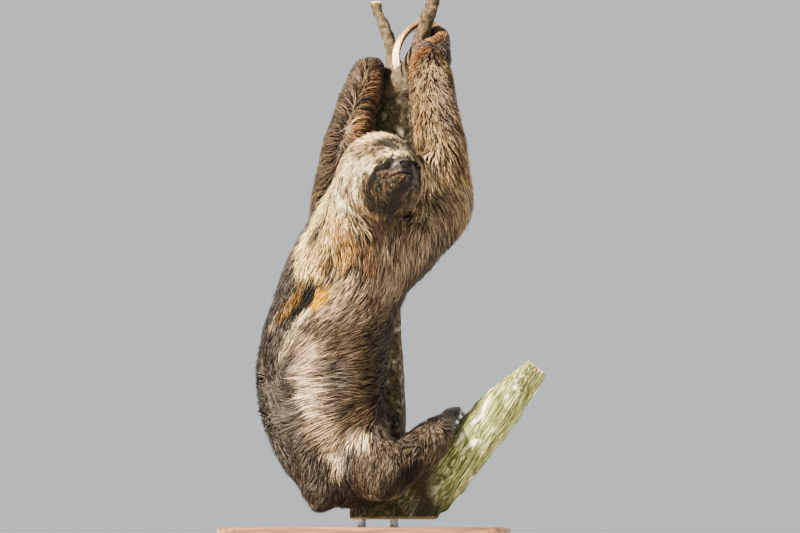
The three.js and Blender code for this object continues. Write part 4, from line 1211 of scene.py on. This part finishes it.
def stand_wood_material():
    # Oiled walnut board: long dark grain, a satin oil finish, pores that catch a little light.
    material, tree, surface, place = new_material("oiled_walnut", Roughness=.42, Coat_Weight=.2,
                                                  Coat_Roughness=.35)
    # Grain lines 4 mm apart across the board and some 80 mm long along it; pores 0.5 mm wide.
    long_way = put(tree, "Mapping", {"Vector": place, "Scale": (12, 240, 120)}).outputs[0]
    grain = put(tree, "TexNoise", {"Vector": long_way, "Scale": 1, "Detail": 6,
                                   "Distortion": .6}).outputs["Fac"]
    pore_way = put(tree, "Mapping", {"Vector": place, "Scale": (90, 1900, 900)}).outputs[0]
    pores = put(tree, "TexNoise", {"Vector": pore_way, "Scale": 1, "Detail": 2}).outputs["Fac"]
    tone = put(tree, "ValToRGB", {"Fac": grain}, ramp=[
        (.3, "#2c1a10"), (.5, "#54351f"), (.7, "#7a5434")])
    tree.links.new(tone.outputs["Color"], surface.inputs["Base Color"])
    bump = put(tree, "Bump", {"Height": pores, "Strength": .25, "Distance": .0002})
    tree.links.new(bump.outputs["Normal"], surface.inputs["Normal"])
    return material


def stand_steel_material():
    # Drawn steel rod, brushed along its length: a plain metal with soft streaky highlights.
    material, tree, surface, place = new_material("brushed_steel", Metallic=1.0, Roughness=.3)
    # Scratches 0.3 mm apart that run up the rod.
    up = put(tree, "Mapping", {"Vector": place, "Scale": (3200, 3200, 60)}).outputs[0]
    scratch = put(tree, "TexNoise", {"Vector": up, "Scale": 1, "Detail": 2}).outputs["Fac"]
    tone = put(tree, "ValToRGB", {"Fac": scratch}, ramp=[(.3, "#8c8c8b"), (.7, "#b9b9b6")])
    tree.links.new(tone.outputs["Color"], surface.inputs["Base Color"])
    rough = put(tree, "MapRange", {"Value": scratch, "To Min": .26, "To Max": .42}).outputs[0]
    tree.links.new(rough, surface.inputs["Roughness"])
    return material


# ---------------------------------------------------------------- eyes, nose, claws

def build_eye(side):
    """A glass ball with its iris painted round the way it looks."""
    low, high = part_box(f"eye_{side}")
    centre = np.array((low + high) / 2)
    bpy.ops.object.select_all(action="DESELECT")
    bpy.ops.mesh.primitive_uv_sphere_add(segments=48, ring_count=32, radius=EYE_RADIUS * MM)
    eye = bpy.context.active_object
    eye.name = f"glass_eye_{side}"
    points = points_of(eye)
    sign = 1 if side == "left" else -1
    gaze = unit(FORWARD * .80 + LEFTWARD * sign * .58 + UPWARD * .12)
    ahead = unit(points) @ gaze
    cornea = np.exp(-((1 - ahead) / .12) ** 2)[:, None]
    move_points(eye, centre + points * (1 + .05 * cornea))
    ring = np.arccos(np.clip(ahead, -1, 1)) / math.radians(62)
    paint(eye, "Gaze", np.tile(np.clip(ring, 0, 1)[:, None], (1, 3)))
    smooth_shade(eye)
    return eye


def build_nose():
    """The nose leather: a low dome with two deep nostrils, each drawn out to a comma at its side."""
    low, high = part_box("nose")
    centre = (np.array(low) + np.array(high)) / 2
    bpy.ops.object.select_all(action="DESELECT")
    bpy.ops.mesh.primitive_uv_sphere_add(segments=96, ring_count=64, radius=1)
    nose = bpy.context.active_object
    nose.name = "nose_leather"
    f, l, u = points_of(nose).T
    hole, tail = np.zeros(len(f)), np.zeros(len(f))
    for sign, middle, wide in ((-1, .6, .38), (1, .5, .29)):
        x = sign * l
        level = (u + .05 - .3 * (x - .55)) / .42
        hole += np.exp(-(((x - middle) / wide) ** 2 + level ** 2) ** 1.6)
        tail += np.exp(-((x - .92) / .16) ** 2 - ((u + .26) / .12) ** 2)
    front = ease(f, .02, .3)
    pad = ease(-u, .3, .7) * np.exp(-(l / .4) ** 2)
    out = np.stack([f * 5.2, l * 9.6 - 1.2, u * 6.4], 1)
    out[:, 0] += front * (-3.4 * hole - 1 * tail + .5 * pad)
    move_points(nose, centre + out * MM @ HEAD_AXES)
    grey, shade, black = hue("#38343a"), hue("#0e0b0c"), hue("#010101")
    # Painted shade: all of the nose but its upper rim and its sides is darkened.
    dusk = (ease(-np.abs(l), -.95, -.7) * ease(-u, -.7, -.4))[:, None]
    colours = grey + dusk * (shade - grey)
    # Painted shade: the nostrils are painted black, as the shade deep inside them.
    pit = np.clip((hole * 2 + tail) * front, 0, 1)[:, None]
    paint(nose, "Leather", colours + pit * (black - colours))
    smooth_shade(nose)
    return nose


# Each grip: the claws lie on a circle about a centre, start on the side out, and run towards;
# then the circle's radius, the claws' length and their half thickness at the root.
GRIPS = {
    "hand_right": ((95, 54, 656), (-.43, 0, .9), (-.85, -.35, -.41), 56, 76, 5.2),
    "hand_left": ((44, 84, 643), (-.62, .78, 0), (.78, .62, 0), 32, 76, 5.2),
    "foot_right": ((155, 30, 145), (-.81, 0, .59), (0, 1, 0), 43, 60, 4.2),
    "foot_left": ((28, 78, 138), (.41, .91, 0), (.91, -.41, 0), 41, 60, 4.2),
}
CLAW_SPACING, CLAW_PINCH = 9.5, .12


def claw_blank():
    """A straight rod one unit round and long, drawn out in short steps so that it can bend."""
    steps = 26
    bpy.ops.object.select_all(action="DESELECT")
    bpy.ops.mesh.primitive_circle_add(vertices=20, radius=1, fill_type="NGON")
    blank = bpy.context.active_object
    bpy.ops.object.mode_set(mode="EDIT")
    bpy.ops.mesh.select_all(action="SELECT")
    for _ in range(steps):
        bpy.ops.mesh.extrude_region_move(TRANSFORM_OT_translate={"value": (0, 0, 1 / steps)})
    bpy.ops.mesh.poke()
    bpy.ops.mesh.select_all(action="SELECT")
    bpy.ops.mesh.normals_make_consistent(inside=False)
    bpy.ops.object.mode_set(mode="OBJECT")
    return blank


def build_claw(blank, limb, number):
    """One claw bent round its grip: a rounded back, a flatter hollow face, a blunt worn tip."""
    centre, out, towards, radius, length, thick = GRIPS[limb]
    outward, heading = unit(np.array(out, float)), unit(np.array(towards, float))
    across = unit(np.cross(outward, heading))
    mesh = blank.data.copy()
    claw = bpy.data.objects.new(f"claw_horn_{limb}_{number}", mesh)
    bpy.context.scene.collection.objects.link(claw)
    x, y, z = points_of(claw).T
    angle = (length / radius * z)[:, None]
    ray = outward * np.cos(angle) + heading * np.sin(angle)
    girth = thick * 1.08 * np.sqrt(np.clip(1.015 - z ** 1.35, 0, 1))
    back = np.where(x > 0, x * girth, x * girth * .68)
    side = y * girth * .76 * np.where(x > 0, 1, 1 + .12 * x)
    offset = (number - 2) * CLAW_SPACING * (1 - CLAW_PINCH * z) + side
    points = np.array(centre) + ray * (radius + back)[:, None] + across * offset[:, None]
    move_points(claw, points * MM)
    worn = (mottle(points * MM, .006, 31) * .5 + .5)[:, None]
    inner = ease(-x, -.35, .1)[:, None]
    pale, tan, red = hue("#b89a50"), hue("#6e5434"), hue("#3a1c0e")
    old = np.clip(1.15 - 1.5 * ease(z, 0, .8)[:, None] + .25 * worn, 0, 1)
    colours = pale + old * (tan - pale) + ease(z, .6, .95)[:, None] * .5 * (hue("#f0e8d4") - pale)
    groove = (ease(mottle(points * MM * (1, 1, .1), .0016, 32), .1, .6) * .35)[:, None]
    inner *= 1 - .6 * ease(z, .62, .85)[:, None]
    paint(claw, "Horn", (colours + inner * (red - colours)) * (1 - groove))
    smooth_shade(claw)
    return claw


# ---------------------------------------------------------------- perch

PERCH = ["perch_trunk", "perch_limb", "perch_fork_right", "perch_fork_left"]
PERCH_TOP, PERCH_FOOT = .752, .031
LIMB_END = np.array([222, 35, 240]) * MM
LIMB_WAY = unit(np.array([48, 4, 75.]))


def build_perch():
    """The cut trunk with its limb and fork: ridged, knotted bark and clean sawn ends."""
    perch = one_surface(PERCH, "perch_bark", .0004, VOXEL)
    finish_with(perch, "SMOOTH", factor=.5, iterations=3)
    points, normals = points_of(perch), normals_of(perch)
    top = ease(points[:, 2], PERCH_TOP - .0035, PERCH_TOP - .0012) * ease(normals[:, 2], .5, .85)
    foot = ease(-points[:, 2], -PERCH_FOOT - .0035, -PERCH_FOOT - .0012) * ease(-normals[:, 2], .5, .85)
    end = ease((points - LIMB_END) @ LIMB_WAY, -.004, -.0015) * ease(normals @ LIMB_WAY, .5, .85)
    end *= points[:, 0] > .18
    sawn = np.clip(top + foot + end, 0, 1)
    stretched = points * (1, 1, .38)
    furrow = 1 - np.abs(mottle(stretched, .011, 41)) * 2
    knots = mottle(points, .030, 42)
    crumb = mottle(points, .0055, 43)
    is_fork = ease(points[:, 2], .655, .675)
    push = (.9 * furrow + 1.1 * knots + (.5 + .5 * is_fork) * crumb - 1.2) * (1 - sawn)
    # The trunk is widest where the head leans on it.
    push += 6 * np.exp(-((points[:, 2] - .548) / .034) ** 2) * np.maximum(normals[:, 0], 0)
    push += 9 * np.exp(-((points[:, 2] - .580) / .045) ** 2) * np.maximum(-normals[:, 0], 0)
    push *= 1 - .7 * ease(points[:, 2], PERCH_TOP - .012, PERCH_TOP)
    move_points(perch, points + normals * (push * MM)[:, None])
    x, _, z = (points / MM).T
    damp = mottle(points, .045, 44) * .5 + .5
    is_limb = ease(x, 45, 75) * ease(-z, -330, -300)
    moss = np.clip(ease(damp, .4, .75) * .5 + .25 * ease(furrow, -.2, -.9), 0, 1)
    moss = np.maximum(moss, .3 * ease(z, 575, 600) * ease(-z, -680, -655))
    moss = np.maximum(moss, .25 * is_fork * ease(-x, -50, -40))
    along_limb = points - .55 * (points @ LIMB_WAY)[:, None] * LIMB_WAY * is_limb[:, None]
    spots = mottle(along_limb, .009, 45) + .5 * mottle(along_limb, .0045, 46)
    # Painted shade: the limb's end under the leg and the trunk just below the fork are darker.
    crotch = ease(z, 590, 612) * ease(-z, -680, -655)
    shaded = np.maximum(is_limb * ease(-x, -120, -80), .6 * crotch)
    lichen = ease(spots, .55, .7) * (.25 + .75 * is_limb) * (1 - .9 * is_fork)
    lichen *= 1 - shaded * (1 - crotch)
    lichen *= 1 - .6 * ease(z, 585, 605)
    paint(perch, "Growth", np.stack([moss, lichen, sawn], 1))
    paint(perch, "Kind", np.stack([is_limb, is_fork, shaded], 1))
    centre = np.where((z > 700)[:, None], np.where((x > 45)[:, None], (97, 10, 752), (3, 114, 752)),
                      np.where((x > 150)[:, None], LIMB_END / MM, (18, 38, 31)))
    rings = np.linalg.norm(points - centre * MM, axis=1)
    paint(perch, "Rings", np.tile(rings[:, None], (1, 3)))
    smooth_shade(perch)
    return perch


# ---------------------------------------------------------------- the model

skin = build_skin()
told = shares(points_of(skin))
uv = unwrap_skin(skin)
paint_hide(skin, told)
skin.data.materials.append(skin_material())
coat = build_coat(skin, uv, told)
fur = fur_material()
for lock in coat:
    lock.data.materials.append(fur)
    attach(lock, "root")
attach(skin, "root")
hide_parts(*FLESH)

eye_glass = eye_material()
for side in ("right", "left"):
    eye = build_eye(side)
    eye.data.materials.append(eye_glass)
    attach(eye, "root")
    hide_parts(f"eye_{side}")

nose = build_nose()
nose.data.materials.append(nose_material())
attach(nose, "root")
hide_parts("nose")

horn = claw_material()
blank = claw_blank()
for limb, number in product(GRIPS, (1, 2, 3)):
    claw = build_claw(blank, limb, number)
    claw.data.materials.append(horn)
    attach(claw, "root")
    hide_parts(f"claw_{limb}_{number}")
bpy.data.objects.remove(blank)

perch = build_perch()
perch.data.materials.append(bark_material())
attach(perch, "root")
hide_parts(*PERCH)

walnut, steel = stand_wood_material(), stand_steel_material()
for name, finish in (("stand_base", walnut), ("stand_rod_1", steel), ("stand_rod_2", steel)):
    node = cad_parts[name]
    node.data.materials.clear()
    node.data.materials.append(finish)


# ---------------------------------------------------------------- floor, light and camera

def build_floor():
    bpy.ops.object.select_all(action="DESELECT")
    bpy.ops.mesh.primitive_circle_add(vertices=96, radius=9, fill_type="NGON")
    floor = bpy.context.active_object
    floor.name = "floor"
    # Painted plaster floor, matt and almost white, with faint rolled mottling 30 mm across.
    material, tree, surface, place = new_material("matt_floor_paint", Roughness=.8)
    cloud = put(tree, "TexNoise", {"Vector": place, "Scale": 30, "Detail": 4}).outputs["Fac"]
    tone = put(tree, "ValToRGB", {"Fac": cloud}, ramp=[(.3, "#d2d0ca"), (.7, "#dad8d3")])
    tree.links.new(tone.outputs["Color"], surface.inputs["Base Color"])
    floor.data.materials.append(material)


def add_light(name, place, aim, size, power, code):
    bpy.ops.object.light_add(type="AREA", location=place)
    light = bpy.context.active_object
    light.name = name
    light.rotation_euler = (Vector(aim) - Vector(place)).to_track_quat("-Z", "Y").to_euler()
    light.data.shape, light.data.size, light.data.energy = "DISK", size, power
    light.data.color = hue(code)


def light_room():
    world = bpy.data.worlds.new("pale_studio")
    bpy.context.scene.world = world
    world.use_nodes = True
    world.node_tree.nodes["Background"].inputs["Color"].default_value = (*hue("#eff2f5"), 1)
    world.node_tree.nodes["Background"].inputs["Strength"].default_value = .78
    add_light("key", (-2.1, -1.7, 2.3), (0, 0, .38), .3, 1750, "#ffedd0")
    add_light("fill", (2.2, -2.2, 1.0), (0, 0, .38), 1.8, 6, "#e8eeff")
    add_light("rim", (.9, 2.2, 1.6), (0, 0, .4), 1.2, 45, "#ffffff")


def set_camera():
    """A long lens just over the floor, that looks a little upwards."""
    upward = math.radians(90 + 5.5)
    bpy.ops.object.camera_add(location=(.0467, -3.6134, .0210), rotation=(upward, 0, 0))
    camera = bpy.context.active_object
    camera.name = "camera"
    camera.data.sensor_width, camera.data.lens = 36, 121.5
    bpy.context.scene.camera = camera


build_floor()
light_room()
set_camera()

bpy.context.view_layer.update()
